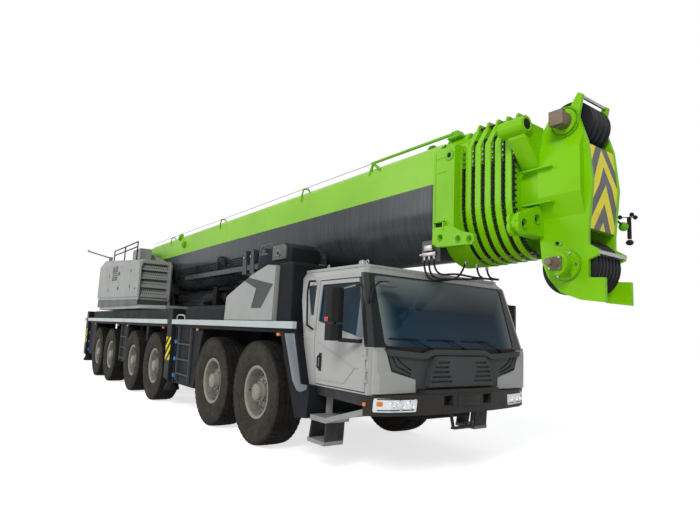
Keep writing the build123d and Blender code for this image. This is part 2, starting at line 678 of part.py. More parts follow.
# Doors: skin with window, hinge leaves, and two mirrors on a pair of arms.
MIRRORS = ((1550, 1735), (1755, 2145))
MIRROR_PLAN = [
    (2040, MIRROR_Y[0]), (2165, MIRROR_Y[0] + 10), (2185, MIRROR_Y[0] + 90),
    (2160, MIRROR_Y[1] - 15), (2040, MIRROR_Y[1]),
]
MIRROR_ARMS = (
    # start on the door, end in a mirror, radius
    ((2186, 1290, 2215), (2120, MIRROR_Y[0] + 55, 2130), 11),
    ((2362, 1358, 1560), (2135, MIRROR_Y[0] + 65, 1575), 12),
    ((2095, MIRROR_Y[0] + 75, 1700), (2095, MIRROR_Y[0] + 75, 1790), 18),
)
skin_form = outer_form - cab_form(DOOR_WALL)
for side, sign in SIGNS.items():
    skin = (skin_form & across(shrunk(DOOR, DOOR_GAP), sign)) - across(DOOR_GLASS, sign)
    leaves = []
    for low, high in HINGE_ROWS:
        inside = on_side(sign, CAB_HALF[0] - 12, HINGE_Y)
        outside = on_side(sign, CAB_HALF[0] + 2, HINGE_Y)
        leaves.append(rod("z", HINGE_R, low, high, HINGE_X, sign * HINGE_Y))
        leaves.append(block((HINGE_X - 60, HINGE_X - 26), inside, (low, high)))
        leaves.append(block((HINGE_X - 30, HINGE_X), outside, (low, high)))
    arms = [
        bar((a[0], sign * a[1], a[2]), (b[0], sign * b[1], b[2]), radius)
        for a, b, radius in MIRROR_ARMS
    ]
    plan = [(x, sign * y) for x, y in MIRROR_PLAN]
    housings = [prism("z", rounded(plan, 20), low, high) for low, high in MIRRORS]
    glass = pane_form & across(shrunk(DOOR_GLASS, FIT), sign)
    keep(f"door_{side}", joined(skin, *leaves, *arms, *housings), glass)

# Dark panel: flat field below a raised brow, and a raised middle with slots at each
# side of a blank field.
BELOW_BROW = [
    (-1300, 1000), (1300, 1000), (1300, 1425), (600, 1375), (470, 1425), (-470, 1425),
    (-600, 1375), (-1300, 1425),
]
MIDDLE = [(-575, 1060), (575, 1060), (530, 1275), (430, 1412), (-430, 1412), (-530, 1275)]
SLOT_ROWS = (
    # Z, inner end, outer end, all on one side of the middle
    (1110, 190, 545), (1165, 215, 525), (1220, 240, 515), (1275, 250, 490), (1330, 230, 440),
)
LOUVRES = (
    # top: Y and Z, knee: Y and Z, inner end: Z
    (1165, 1410, 1100, 1245, 1170), (1105, 1405, 1030, 1285, 1205), (1045, 1400, 965, 1325, 1245),
)
LOUVRE_END = 800
SLOT_DEPTH = 22
FIELD = FACE_X + 40
slots = []
for sign in (-1, 1):
    for z, inner, outer in SLOT_ROWS:
        slots.append(block(
            (GRILLE_FRONT - SLOT_DEPTH, GRILLE_FRONT + 1), on_side(sign, inner, outer), (z, z + 22)))
    for y_top, z_top, y_knee, z_knee, z_end in LOUVRES:
        slots.append(prism("x", [
            (sign * y_top, z_top), (sign * y_knee, z_knee - 8), (sign * LOUVRE_END, z_end - 12),
            (sign * LOUVRE_END, z_end + 12), (sign * (y_knee - 14), z_knee + 16),
            (sign * (y_top - 22), z_top),
        ], FIELD - SLOT_DEPTH, FIELD + 1))
panel = prism("x", PANEL, FACE_X + FIT, PANEL_FRONT) - prism("x", BELOW_BROW, FIELD, PANEL_FRONT + 1)
keep("front_panel", joined(panel, prism("x", MIDDLE, FIELD - 5, GRILLE_FRONT)) - slots)

BUMPER = [
    (2400, -1375), (2500, -1335), (2590, -1140), (2660, -760),
    (BUMPER_FRONT, -420), (BUMPER_FRONT, 420), (2660, 760), (2590, 1140), (2500, 1335),
    (2400, 1375), (2400, 1290), (2470, 1240), (2500, 1060), (2500, -1060), (2470, -1240),
    (2400, -1290),
]
BUMPER_STEP = [
    (FACE_X + FIT, 970), (2660, 970), (2625, BUMPER_Z[1]), (FACE_X + FIT, BUMPER_Z[1]),
]
STEP_X = 2600
STEP_Y = ((-205, -150), (195, 165))
STEP_LOW = 575
bumper = prism("z", BUMPER, *BUMPER_Z[:1], BUMPER_Z[1] - 45)
raised = prism("y", BUMPER_STEP, -700, 700) & prism("x", [
    (-700, 960), (700, 960), (655, BUMPER_Z[1]), (-655, BUMPER_Z[1]),
], FACE_X, BUMPER_FRONT)
nose_link = block((NOSE_X + FIT, 2520), (-440, 440), (NOSE_Z[0] + 130, BUMPER_Z[1] - 60))
front_step = [bar((STEP_X, top, BUMPER_Z[0] + 10), (STEP_X, low, STEP_LOW), 20) for top, low in STEP_Y]
front_step.append(block((STEP_X - 30, STEP_X + 30), (-165, 180), (STEP_LOW - 12, STEP_LOW + 12)))
tow = [block((2600, 2800), on_side(sign, 266, 420), (857, 970)) for sign in (-1, 1)]
LAMP = [(-1325, 808), (-815, 805), (-800, 940), (-1315, 955)]
lamp_cut = prism("x", rounded(LAMP, 18), 2200, 2800)
lamp_cuts = [lamp_cut, mirrored(lamp_cut)]
lamps = []
for cut in lamp_cuts:
    lamps.extend((bumper & cut).solids())
keep("bumper", joined(bumper, raised, nose_link, *front_step) - tow - lamp_cuts)
keep("headlamps", *lamps)

# Sill and steps under the doors, carried by the mudguard and the frame.
STEP_OUT = GUARD_Y[1] - 25
STEP_IN = STEP_OUT - 280
STEP_BAR = [(1490, 590), (1820, 590), (2399, 768), (2399, 830), (1810, 650), (1490, 650)]
STEP_PLAN = [
    (1490, STEP_OUT - 35), (1900, STEP_OUT - 35), (2399, STEP_OUT - 125), (2399, STEP_OUT - 88),
    (1910, STEP_OUT), (1490, STEP_OUT),
]
sill = prism("y", [
    (1480, 880), (2385, 860), (2395, 900), (2395, CAB_FLOOR - FIT), (1480, CAB_FLOOR - FIT),
], STEP_IN, STEP_OUT - 88)
legs = [
    prism("y", [(low_x, 340), (low_x + 28, 340), (top_x + 28, 600), (top_x, 600)], STEP_IN, STEP_OUT - 20)
    for low_x, top_x in ((1440, 1490), (1775, 1795))
]
step_parts = [
    sill, *legs,
    block((1490, 1825), (STEP_IN - 60, STEP_OUT - 15), (590, 650)),
    prism("y", STEP_BAR, STEP_OUT - 130, STEP_OUT) & prism("z", STEP_PLAN, 500, 900),
    block((1440, 1803), (STEP_IN, STEP_OUT - 5), (330, 375)),
    block((1500, 1640), (FRAME_HALF + FIT, STEP_IN + 20), (600, 645)),
    block((1500, 1560), (STEP_IN, STEP_IN + 60), (640, 900)),
]
steps = joined(*step_parts)
keep("cab_steps", steps, mirrored(steps))

# -------------------------------------------------------------- superstructure
SIDE_IN, SIDE_OUT = SIDE_PLATE_Y
slew_ring = rod("z", RING_R, SEAT_TOP + FIT, RING_TOP + 5, SLEW_X, 0)
wide, narrow = BASE_HALF
base = prism("z", [
    (BASE_REAR, -wide), (HOUSE_FRONT, -wide), (BASE_FRONT, -narrow), (BASE_FRONT, narrow),
    (HOUSE_FRONT, wide), (BASE_REAR, wide),
], RING_TOP, BASE_TOP)
pad = block((BASE_REAR + 10, BASE_REAR + 130), (-300, 300), (BASE_TOP - 10, PAD_TOP))
SIDE_PLATE = [
    (BASE_REAR + 50, RING_TOP + 10), (HOUSE_FRONT, RING_TOP + 10), (HOUSE_FRONT, 3215),
    (-7060, 3255), (-9880, 3920), (-10480, 3920), (-11000, 3400), (BASE_REAR + 50, 2900),
]
side_plates = [prism("y", SIDE_PLATE, *on_side(s, SIDE_IN, SIDE_OUT)) for s in (-1, 1)]
pivot_pin = rod("y", PIVOT_R, -SIDE_OUT, SIDE_OUT, PIVOT_X, PIVOT_Z)
FOOT_LUG = [
    (LUFF_FOOT_X - 260, BASE_TOP - 10), (LUFF_FOOT_X + 260, BASE_TOP - 10),
    (LUFF_FOOT_X + 120, LUFF_Z + 130), (LUFF_FOOT_X - 120, LUFF_Z + 130),
]
foot_lugs = [prism("y", FOOT_LUG, *on_side(s, 240, 290)) for s in (-1, 1)]
foot_pin = rod("y", LUFF_PIN_R, -300, 300, LUFF_FOOT_X, LUFF_Z)
drum_bore = rod("y", DRUM_SHAFT_R + PLAY, -700, 700, DRUM_X, DRUM_Z)
barrel_well = block(
    (LUFF_FOOT_X - 330, BASE_FRONT + 100), (-BARREL_R - 36, BARREL_R + 36),
    (RING_TOP + 60, BASE_TOP + 1))
platform = joined(slew_ring, base, pad, *side_plates, pivot_pin, *foot_lugs, foot_pin)
keep("slewing_platform", platform - barrel_well - drum_bore)

# Housings beside the boom: upright sides, a sloping shoulder and a rising roof.
HOUSE_IN = SIDE_OUT + FIT
HOUSE_ROOF_Y = HOUSE_SIDE - 150
HOUSE_ENDS = {
    # end: floor, top of the side, roof
    "front": (HOUSE_FLOOR, 3225, 3300),
    "rear": (HOUSE_FLOOR + 90, 3420, 3670),
}
BASE_STRIP_Y = HOUSE_SIDE - 30


def house_wire(end, x):
    """Section of a housing at one end."""
    low, shoulder, roof_z = HOUSE_ENDS[end]
    outline = [
        (HOUSE_IN, low), (HOUSE_IN, roof_z), (HOUSE_ROOF_Y, roof_z),
        (HOUSE_SIDE, shoulder), (HOUSE_SIDE, low),
    ]
    return Wire.make_polygon([(x, y, z) for y, z in outline], close=True)


def house(front):
    """Left-hand housing with its base strip."""
    body = Solid.make_loft([house_wire("rear", HOUSE_REAR), house_wire("front", front)], True)
    strip = block((HOUSE_REAR, front - 60), (HOUSE_IN, BASE_STRIP_Y), (BASE_TOP + FIT, HOUSE_FLOOR + 95))
    return joined(body, strip)


# The right housing's front is open, with four sloping treads as a way up.
FRONT_WALL = 60
TREADS = (2330, 2555, 2780, 3005)
front_recess = block(
    (HOUSE_FRONT - FRONT_WALL * 3, HOUSE_FRONT + 1), (HOUSE_IN + FRONT_WALL, HOUSE_SIDE - FRONT_WALL),
    (HOUSE_FLOOR + 30, HOUSE_ENDS["front"][1] - 20))
treads = []
for low in TREADS:
    treads.append(prism("y", [
        (HOUSE_FRONT - FRONT_WALL * 3, low + 225), (HOUSE_FRONT - FRONT_WALL * 3, low + 20),
        (HOUSE_FRONT - 10, low + 20), (HOUSE_FRONT - 10, low + 55), (HOUSE_FRONT - 70, low + 60),
        (HOUSE_FRONT - 130, low + 225),
    ], HOUSE_IN + FRONT_WALL - 5, HOUSE_SIDE - FRONT_WALL + 5))
RAIL_X = (-10850, -9500)
RAIL_FRONT = {"right": -8100, "left": LEFT_HOUSE_FRONT - 40}
RAIL_Z = 3905
RAIL_LOW = 3300
HAND_R = 17
ARM_X = -11500
ARM_END = ((1240, 3745), (1930, 3890))


def roof_rail(side):
    """Handrail, fitting box and sideways arm on a housing's roof, drawn for the left."""
    y = HOUSE_ROOF_Y - 40
    stations = (*RAIL_X, RAIL_FRONT[side])
    posts = [bar((x, y, RAIL_LOW), (x, y, RAIL_Z), HAND_R) for x in stations]
    top = bar((stations[0], y, RAIL_Z), (stations[-1], y, RAIL_Z), HAND_R)
    middle = bar((stations[0], y, RAIL_Z - 140), (stations[-1], y, RAIL_Z - 140), HAND_R)
    (y_in, z_in), (y_out, z_out) = ARM_END
    seat = block((ARM_X - 60, ARM_X + 60), (y_in - 60, y_in + 30), (3500, z_in + 30))
    arm = bar((ARM_X, y_in, z_in), (ARM_X, y_out, z_out), 22)
    tip = block((ARM_X - 25, ARM_X + 25), (y_out - 25, y_out + 10), (z_out - 20, z_out + 45))
    box = block((-9300, -8500), (760, 1080), (3300, 3790))
    return [*posts, top, middle, seat, arm, tip, box]


house_right = joined(house(HOUSE_FRONT) - front_recess, *treads, *roof_rail("right"))
house_left = joined(house(LEFT_HOUSE_FRONT), *roof_rail("left"))
keep("upper_housings", mirrored(house_right), house_left)

drum = joined(
    rod("y", 330, -DRUM_HALF, DRUM_HALF, DRUM_X, DRUM_Z),
    rod("y", 430, -DRUM_HALF - 40, -DRUM_HALF, DRUM_X, DRUM_Z),
    rod("y", 430, DRUM_HALF, DRUM_HALF + 40, DRUM_X, DRUM_Z),
    rod("y", DRUM_SHAFT_R, -DRUM_HALF - 120, DRUM_HALF + 120, DRUM_X, DRUM_Z))
keep("hoist_drum", drum)

# Operator's cab on the left of the boom: hollow, with windows and a sliding door.
OP_X = (-8100, -6450)
OP_Y = (700, 1440)
OP_Z = (BASE_TOP + FIT, 3680)
OP_SIDE = [
    (OP_X[0], OP_Z[0]), (OP_X[1] - 120, OP_Z[0]), (OP_X[1], 2450), (OP_X[1] - 60, 3100),
    (OP_X[1] - 330, 3620), (OP_X[1] - 450, OP_Z[1]), (OP_X[0], OP_Z[1]),
]
OP_WALL = 45
OP_DOOR = (-7750, -6850)
OP_DOOR_Z = (2300, 3500)
OP_PANE = 80                    # sliding door's frame round its pane
FRONT_WINDOW = ((OP_X[1] - 450, OP_X[1] + 10), (OP_Y[0] + 70, OP_Y[1] - 70), (2520, 3560))
INNER_WINDOW = ((-7700, -6900), (OP_Y[0] - 5, OP_Y[0] + 60), (2700, 3450))


def op_layer(inset):
    """Closed form of the operator's cab, inset from every face."""
    return prism("y", shrunk(OP_SIDE, inset), OP_Y[0] + inset, OP_Y[1] - inset)


op_door_cut = block((OP_DOOR[0] + 20, OP_DOOR[1] - 20), (OP_Y[1] - 60, OP_Y[1] + 5), (2320, 3480))
op_shell = op_layer(0) - op_layer(OP_WALL) - op_door_cut - block(*FRONT_WINDOW) - block(*INNER_WINDOW)
op_pane_form = op_layer(12) - op_layer(20)
op_panes = []
for x, y, z in (FRONT_WINDOW, INNER_WINDOW):
    inside_y = (y[0] + FIT, y[1] - FIT) if y is FRONT_WINDOW[1] else y
    cut = block((x[0] + FIT, x[1] - FIT), inside_y, (z[0] + FIT, z[1] - FIT))
    op_panes.extend((op_pane_form & cut).solids())
keep("operator_cab", op_shell, *op_panes)
pane_x = (OP_DOOR[0] + OP_PANE, OP_DOOR[1] - OP_PANE)
door_frame = block(OP_DOOR, (OP_Y[1] + PLAY, OP_Y[1] + 36), OP_DOOR_Z)
door_hole = block(pane_x, (OP_Y[1], OP_Y[1] + 40), (2560, 3430))
door_pane = block(
    (pane_x[0] + FIT, pane_x[1] - FIT), (OP_Y[1] + 14, OP_Y[1] + 20), (2560 + FIT, 3430 - FIT))
keep("operator_door", door_frame - door_hole, door_pane)

# -------------------------------------------------------------- luffing cylinder
barrel_eye = rod("y", 165, -232, 232, LUFF_FOOT_X, LUFF_Z)
barrel = joined(
    barrel_eye, rod("x", BARREL_R, LUFF_FOOT_X + 60, BARREL_END, 0, LUFF_Z),
    rod("x", BARREL_R + 18, BARREL_END - 260, BARREL_END - 150, 0, LUFF_Z),
    rod("x", BARREL_R + 18, BARREL_END - 110, BARREL_END, 0, LUFF_Z))
barrel = barrel - rod("y", LUFF_PIN_R + FIT, -240, 240, LUFF_FOOT_X, LUFF_Z)
barrel = barrel - rod("x", ROD_R + PLAY, LUFF_FOOT_X + 400, BARREL_END + 5, 0, LUFF_Z)
keep("luff_barrel", barrel)
luff_rod = joined(
    rod("x", ROD_R, LUFF_FOOT_X + 420, LUFF_EYE_X - 120, 0, LUFF_Z),
    rod("y", 180, -175, 175, LUFF_EYE_X, LUFF_Z))
keep("luff_rod", luff_rod)

# ------------------------------------------------------------------------ boom
TURN = math.radians(ARC_TURN)
SIDE_R = 1.6 * BOOM_HALF
BELLY_R = SIDE_R - (SIDE_R - BOOM_HALF) / math.cos(TURN)
SPRING_Z = BOOM_BOTTOM + (SIDE_R - BELLY_R) * math.sin(TURN) + BELLY_R


def boom_bar(x_low, x_high, inset, corner=BOOM_CORNER, rise=0, drop=0):
    """Bar with the boom's section: flat top with cut corners and a rounded belly."""
    half = BOOM_HALF - inset
    top = BOOM_TOP - inset + rise
    spring = SPRING_Z - drop
    side_y, side_r = BOOM_HALF - SIDE_R, SIDE_R - inset
    belly_z = spring - (SIDE_R - BELLY_R) * math.sin(TURN) - (BELLY_R - inset)

    def arc_at(angle):
        return side_y + side_r * math.cos(angle), spring - side_r * math.sin(angle)

    (mid_y, mid_z), (low_y, low_z) = arc_at(TURN / 2), arc_at(TURN)
    outline = [
        (half, top - corner[1]), (half - corner[0], top), (-half + corner[0], top),
        (-half, top - corner[1]), (-half, spring), (-mid_y, mid_z, -low_y, low_z),
        (0, belly_z, low_y, low_z), (mid_y, mid_z, half, spring),
    ]
    return prism("x", outline, x_low, x_high)


def front_ring(front, length, step):
    """Solid collar or ring behind a front face, a little smaller for each step."""
    return boom_bar(front - length, front, step - COLLAR_OUT, COLLAR_CORNER, COLLAR_RISE, COLLAR_DROP)


def ring_front(number):
    """Front face of a section's ring, counted from the base collar."""
    return COLLAR_X[1] + number * (RING_GAP + RING_LEN)


# Base section: shell with its foot and a row of brackets along each side, and as pieces
# of their own the collar with side boxes and lugs, and the brackets for the rod's eye.
base_form = boom_bar(BOOM_REAR, COLLAR_X[0], 0)
base_core = boom_bar(BOOM_REAR + 40, COLLAR_X[0] + 1, BOOM_WALL)
collar = front_ring(COLLAR_X[1], COLLAR_X[1] - COLLAR_X[0], 0)
collar_bore = boom_bar(COLLAR_X[0] - 1, COLLAR_X[1] + 1, BOOM_STEP - PLAY)
COLLAR_BOX = [(440, 2700), (590, 2690), (620, 2720), (620, 3840), (590, 3870), (440, 3870)]
COLLAR_LUG = [
    (2700, 2900), (2720, 2700), (2760, 2670), (3270, 2650), (3300, 2680), (3295, 2760),
    (3120, 2815), (2960, 2900),
]
LUG_BORES = ((2810, 2775), (3080, 2730), (3240, 2712))
collar_sides = []
for sign in (-1, 1):
    box_outline = [(sign * y, z) for y, z in COLLAR_BOX]
    collar_sides.append(prism("x", box_outline, COLLAR_X[0], COLLAR_X[1] - 14))
    collar_sides.append(prism("y", COLLAR_LUG, *on_side(sign, 600, 655)))
lug_bores = [rod("y", 32, -700, 700, x, z) for x, z in LUG_BORES]
FOOT = [
    (BOOM_REAR + 20, 2800), (BOOM_REAR + 20, 3940), (PIVOT_X + 60, 3700), (PIVOT_X - 190, 3620),
    (PIVOT_X - 250, PIVOT_Z), (PIVOT_X - 160, 3270), (PIVOT_X + 60, 3170),
]
foot = [prism("y", FOOT, *on_side(s, 330, 480)) for s in (-1, 1)]
foot_bosses = [rod("y", 210, *on_side(s, 330, SIDE_IN - 6), PIVOT_X, PIVOT_Z) for s in (-1, 1)]
pivot_bore = rod("y", PIVOT_R + FIT, -700, 700, PIVOT_X, PIVOT_Z)
ROD_BRACKET = [
    (LUFF_EYE_X - 300, 3150), (LUFF_EYE_X - 260, 2500), (LUFF_EYE_X - 120, LUFF_Z - 130),
    (LUFF_EYE_X + 120, LUFF_Z - 130), (LUFF_EYE_X + 260, 2500), (LUFF_EYE_X + 300, 3150),
]
rod_brackets = []
for sign in (-1, 1):
    plate = prism("y", ROD_BRACKET, *on_side(sign, 185, 235)) - base_form
    rod_brackets.append(joined(plate, rod("y", 110, *on_side(sign, 185, 275), LUFF_EYE_X, LUFF_Z)))
SIDE_BRACKETS = (
    # rear X, front X, top Z of brackets that stand out from the side
    (-2560, -2380, 3160), (-2230, -2050, 3160), (-1790, -1560, 3120), (-900, -700, 3060),
    (-150, 120, 2960),
)
TRAY_X = (-5900, -1200)
side_pieces = []
for sign in (-1, 1):
    out = on_side(sign, 400, 620)
    for rear, front, top in SIDE_BRACKETS:
        side_pieces.append(prism("y", [
            (rear, 2690), (front, 2690), (front - 50, top - 60), (front - 90, top),
            (rear + 40, top), (rear, top - 90),
        ], *out))
    side_pieces.append(block(TRAY_X, on_side(sign, 400, 610), (2760, 2860)))
base_form = joined(base_form, *side_pieces) - base_core
boom_base = joined(base_form, *foot, *foot_bosses)
collar = joined(collar, *collar_sides) - collar_bore
keep("boom_base", boom_base - pivot_bore, collar - lug_bores, *rod_brackets)

EAR = [(190, 3990), (390, 3990), (330, 4140), (250, 4140)]
for number in range(1, SECTIONS + 1):
    inset = number * BOOM_STEP
    rear = BOOM_REAR + 60 + number * 60
    front = ring_front(number)
    ring_rear = front - RING_LEN
    tube = boom_bar(rear, ring_rear, inset) - boom_bar(rear - 1, ring_rear + 1, inset + BOOM_WALL)
    ring = front_ring(front, RING_LEN, number * RING_STEP)
    ears = [
        prism("x", [(sign * y, z - number * RING_STEP) for y, z in EAR], front - 45, front - 15)
        for sign in (-1, 1)
    ]
    bore = boom_bar(ring_rear - 1, front + 1, inset + BOOM_STEP - PLAY)
    keep(f"boom_section_{number}", tube, joined(ring, *ears) - bore)

# Head: two side plates on the tip section, a striped board, pins and guard bars.
tip_inset = (SECTIONS + 1) * BOOM_STEP
tip_rear = BOOM_REAR + 60 + (SECTIONS + 1) * 60
tip_front = HEAD_X[0] + 12
tip_core = boom_bar(tip_rear - 1, HEAD_X[0] - 60, tip_inset + BOOM_WALL)
tip_tube = boom_bar(tip_rear, tip_front, tip_inset) - tip_core
HEAD = [
    (3942, 2274), (4072, 2127), (4280, 2050), (HEAD_X[1], 2020), (HEAD_X[1], 2250), (4365, 2260),
    (4370, 2710), (4420, 3190), (4378, 3605), (4290, 3890), (4200, 4020), (4030, 4020),
    (4005, 4000), (HEAD_X[0] + 25, 3800), (HEAD_X[0], 2670), (HEAD_X[0] + 20, 2450),
]
BOARD = [(4300, 2740), (4368, 2740), (4412, 3190), (4372, 3590), (4300, 3560), (4340, 3190)]
BOARD_HALF = TIP_HALF - TIP_PLATE + 5
head_parts = [
    prism("y", BOARD, -BOARD_HALF, BOARD_HALF),
    block((tip_front - 10, tip_front + 20), (-BOARD_HALF, BOARD_HALF), (2780, 3590)),
    bar((4300, -TIP_HALF, 4105), (4300, TIP_HALF, 4105), 18),
    bar((4450, -TIP_HALF, 2500), (4450, TIP_HALF, 2500), 20),
]
HEAD_LUGS = (
    [(4170, 3960), (4290, 3880), (4335, 4105), (4290, 4135)],
    [(4340, 2420), (4460, 2465), (4470, 2520), (4340, 2600)],
)
JIB_TUBE = (590, 3825)          # upper jib bracket, Y and Z
JIB_PLATE = [
    (200, 2700), (560, 2700), (690, 2715, 695, 2800), (690, 2885, 610, 2900), (420, 2990),
    (330, 3030), (200, 3030),
]
JIB_BORES = ((615, 2790), (395, 2870))
JIB_X = (3760, 3800)
for sign in (-1, 1):
    plate = on_side(sign, TIP_HALF - TIP_PLATE, TIP_HALF)
    head_parts.append(prism("y", HEAD, *plate))
    head_parts.extend(prism("y", lug, *plate) for lug in HEAD_LUGS)
    head_parts.append(rod("y", 130, *on_side(sign, TIP_HALF, TIP_HALF + 35), *TOP_PIN))
    head_parts.append(rod("y", 150, *on_side(sign, TIP_HALF, TIP_HALF + 35), *LOW_PIN))
    block_y = on_side(sign, HEAD_PIN_OUT - 60, HEAD_PIN_OUT)
    head_parts.append(block((TOP_PIN[0] - 75, TOP_PIN[0] + 75), block_y, (TOP_PIN[1] - 75, TOP_PIN[1] + 75)))
    head_parts.append(rod("y", 115, *block_y, *LOW_PIN))
    jib_outline = [
        tuple(sign * value if index % 2 == 0 else value for index, value in enumerate(point))
        for point in JIB_PLATE
    ]
    bores = [rod("x", JIB_BORE_R, 3700, 3960, sign * y, z) for y, z in JIB_BORES]
    for low in (JIB_X[0], JIB_X[1] + 60):
        head_parts.append(prism("x", jib_outline, low, low + 40) - bores)
    y, z = JIB_TUBE
    head_parts.append(rod("x", 90, 3620, 3920, sign * y, z))
    for low in (3760, 3860):
        web = [(sign * 250, 3560), (sign * y, z - 85), (sign * y, z + 60), (sign * 250, 3880)]
        head_parts.append(prism("x", web, low, low + 25))
    for pin in (TOP_PIN, LOW_PIN):
        head_parts.append(rod("y", HEAD_PIN_R, *on_side(sign, 0, HEAD_PIN_OUT - 40), *pin))
keep("boom_tip", joined(tip_tube, *[piece - tip_core for piece in head_parts]))

# Sheaves on the head's two pins: node, pin, radius, grooves, half width.
SHEAVE_ROWS = (
    ("sheaves_top", TOP_PIN, 240, 4, 175),
    ("sheaves_bottom", LOW_PIN, 290, 7, 225),
)
GROOVE = 34
for node, (x, z), radius, grooves, half in SHEAVE_ROWS:
    outline = [(HEAD_PIN_R + 1, -half)]
    pitch = 2 * half / grooves
    for index in range(grooves):
        y = -half + index * pitch
        outline.extend([
            (radius, y), (radius, y + pitch * 0.15), (radius - GROOVE, y + pitch * 0.4),
            (radius - GROOVE, y + pitch * 0.6), (radius, y + pitch * 0.85),
        ])
    outline.extend([(radius, half), (HEAD_PIN_R + 1, half)])
    keep(node, spun(outline, x, 0, z))

# ---------------------------------------------------------------------- export
MIDDLE_X = (DECK_REAR + HEAD_X[1]) / 2
for node, shapes in pieces.items():
    solids = []
    for shape in shapes:
        solids.extend(shape.moved(Location((-MIDDLE_X, 0, 0))).solids())
    export_step(Compound(children=solids) if len(solids) > 1 else solids[0], f"parts/{node}.step")
print(len(pieces), "nodes; middle at", MIDDLE_X)
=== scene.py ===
import json
from functools import partialmethod
from math import copysign, cos, dist, pi, radians, sin

import bmesh
import bpy
from mathutils import Matrix, Vector


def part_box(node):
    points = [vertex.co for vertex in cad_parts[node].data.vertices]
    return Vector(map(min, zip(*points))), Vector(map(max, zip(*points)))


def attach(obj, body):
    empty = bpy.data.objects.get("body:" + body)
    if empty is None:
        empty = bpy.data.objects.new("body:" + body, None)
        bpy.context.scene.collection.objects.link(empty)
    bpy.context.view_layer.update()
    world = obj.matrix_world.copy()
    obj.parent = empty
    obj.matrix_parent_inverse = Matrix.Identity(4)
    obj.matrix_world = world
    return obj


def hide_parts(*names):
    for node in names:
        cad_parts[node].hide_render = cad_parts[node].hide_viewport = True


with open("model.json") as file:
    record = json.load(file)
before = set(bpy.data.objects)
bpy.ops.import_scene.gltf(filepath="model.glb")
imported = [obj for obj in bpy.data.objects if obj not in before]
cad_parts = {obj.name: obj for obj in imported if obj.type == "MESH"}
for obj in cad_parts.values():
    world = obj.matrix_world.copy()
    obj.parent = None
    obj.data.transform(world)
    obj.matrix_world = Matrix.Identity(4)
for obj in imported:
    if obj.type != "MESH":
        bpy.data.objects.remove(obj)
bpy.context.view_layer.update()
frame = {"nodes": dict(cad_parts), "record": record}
nodes = frame["nodes"]
bodies = frame["record"]["behaviour"]["bodies"]
SIDES = {"right": -1, "left": 1}
AXLE_1 = 4.39  # X of the first axle, from which pieces are placed


def linked(name, data):
    """New object in the scene."""
    obj = bpy.data.objects.new(name, data)
    bpy.context.collection.objects.link(obj)
    return obj


def circle(count, radius, shift=0):
    """Points spaced evenly round a circle."""
    for i in range(count):
        turn = 2 * pi * (i + shift) / count
        yield radius * cos(turn), radius * sin(turn)


# ---- materials
def wire(tree, kind, sources=(), output=0, **settings):
    """Output of a new node; sources feed its inputs, in order or by name."""
    node = tree.nodes.new(kind)
    for key, value in settings.items():
        setattr(node, key, value)
    for key, value in sources.items() if isinstance(sources, dict) else enumerate(sources):
        feed(tree, node.inputs[key], value)
    return Value(tree, node.outputs[output]) if node.outputs else None


def feed(tree, socket, value):
    """Sets an input, or links it to another node's output."""
    if isinstance(value, Value):
        tree.links.new(value.socket, socket)
    else:
        socket.default_value = (*value, 1) if socket.type == "RGBA" else value


class Value:
    """Output of a shader node; arithmetic on it adds the math nodes."""

    def __init__(self, tree, socket):
        self.tree, self.socket = tree, socket

    def math(self, operation, *others):
        return wire(self.tree, "ShaderNodeMath", (self, *others), operation=operation)


for name, operation in {
    "__add__": "ADD", "__sub__": "SUBTRACT", "__mul__": "MULTIPLY", "__truediv__": "DIVIDE",
    "__gt__": "GREATER_THAN", "__lt__": "LESS_THAN", "__or__": "MAXIMUM", "__abs__": "ABSOLUTE",
}.items():
    setattr(Value, name, partialmethod(Value.math, operation))


class Nodes:
    """A material's nodes, laid out in the crane's frame."""

    def __init__(self, name, edge=0.005):
        self.material = bpy.data.materials.new(name)
        self.material.use_nodes = True
        self.tree = self.material.node_tree
        self.shader = self.tree.nodes["Principled BSDF"].inputs
        self.place = self.add("ShaderNodeTexCoord", output="Object")
        self.round = self.add("ShaderNodeBevel", (edge,), samples=4)

    def add(self, kind, *args, **settings):
        return wire(self.tree, kind, *args, **settings)

    def axes(self):
        """X, Y and Z of the point."""
        split = self.add("ShaderNodeSeparateXYZ", (self.place,))
        return [Value(self.tree, output) for output in split.socket.node.outputs]

    def noise(self, scale, detail=3, rough=0.55, stretch=None):
        place = self.place
        if stretch:
            place = self.add("ShaderNodeMapping", {"Vector": place, "Scale": stretch})
        return self.add("ShaderNodeTexNoise", {
            "Vector": place, "Scale": scale, "Detail": detail, "Roughness": rough}, "Fac")

    def ramp(self, value, low, high, to_low=0, to_high=1):
        return self.add("ShaderNodeMapRange", (value, low, high, to_low, to_high), clamp=True)

    def mix(self, amount, a, b):
        return self.add("ShaderNodeMix", {0: amount, 6: a, 7: b}, 2, data_type="RGBA")

    def worn(self):
        """Mask of the edges, where rounding turns the surface away from the face."""
        face = self.add("ShaderNodeNewGeometry", output="Normal")
        facing = self.add("ShaderNodeVectorMath", (self.round, face), "Value", operation="DOT_PRODUCT")
        return self.ramp(facing, 0.9, 0.995, 1, 0)

    def put(self, name, value):
        feed(self.tree, self.shader[name], value)

    def bump(self, height, strength, distance):
        self.put("Normal", self.add("ShaderNodeBump", {
            "Strength": strength, "Distance": distance, "Height": height, "Normal": self.round}))

    def color(self, value):
        self.put("Base Color", value)

    def rough(self, scale, detail, low, high):
        """Roughness that drifts between two values."""
        self.put("Roughness", self.ramp(self.noise(scale, detail), 0.3, 0.7, low, high))

    def set(self, **values):
        names = {"coat": "Coat Weight", "coat_roughness": "Coat Roughness",
                 "specular": "Specular IOR Level", "metallic": "Metallic"}
        for key, value in values.items():
            self.put(names[key], value)


def scaled(color, by):
    return tuple(channel * by for channel in color)


def between(value, low, high):
    """1 where the value lies between two limits."""
    return (value > low) * (value < high)


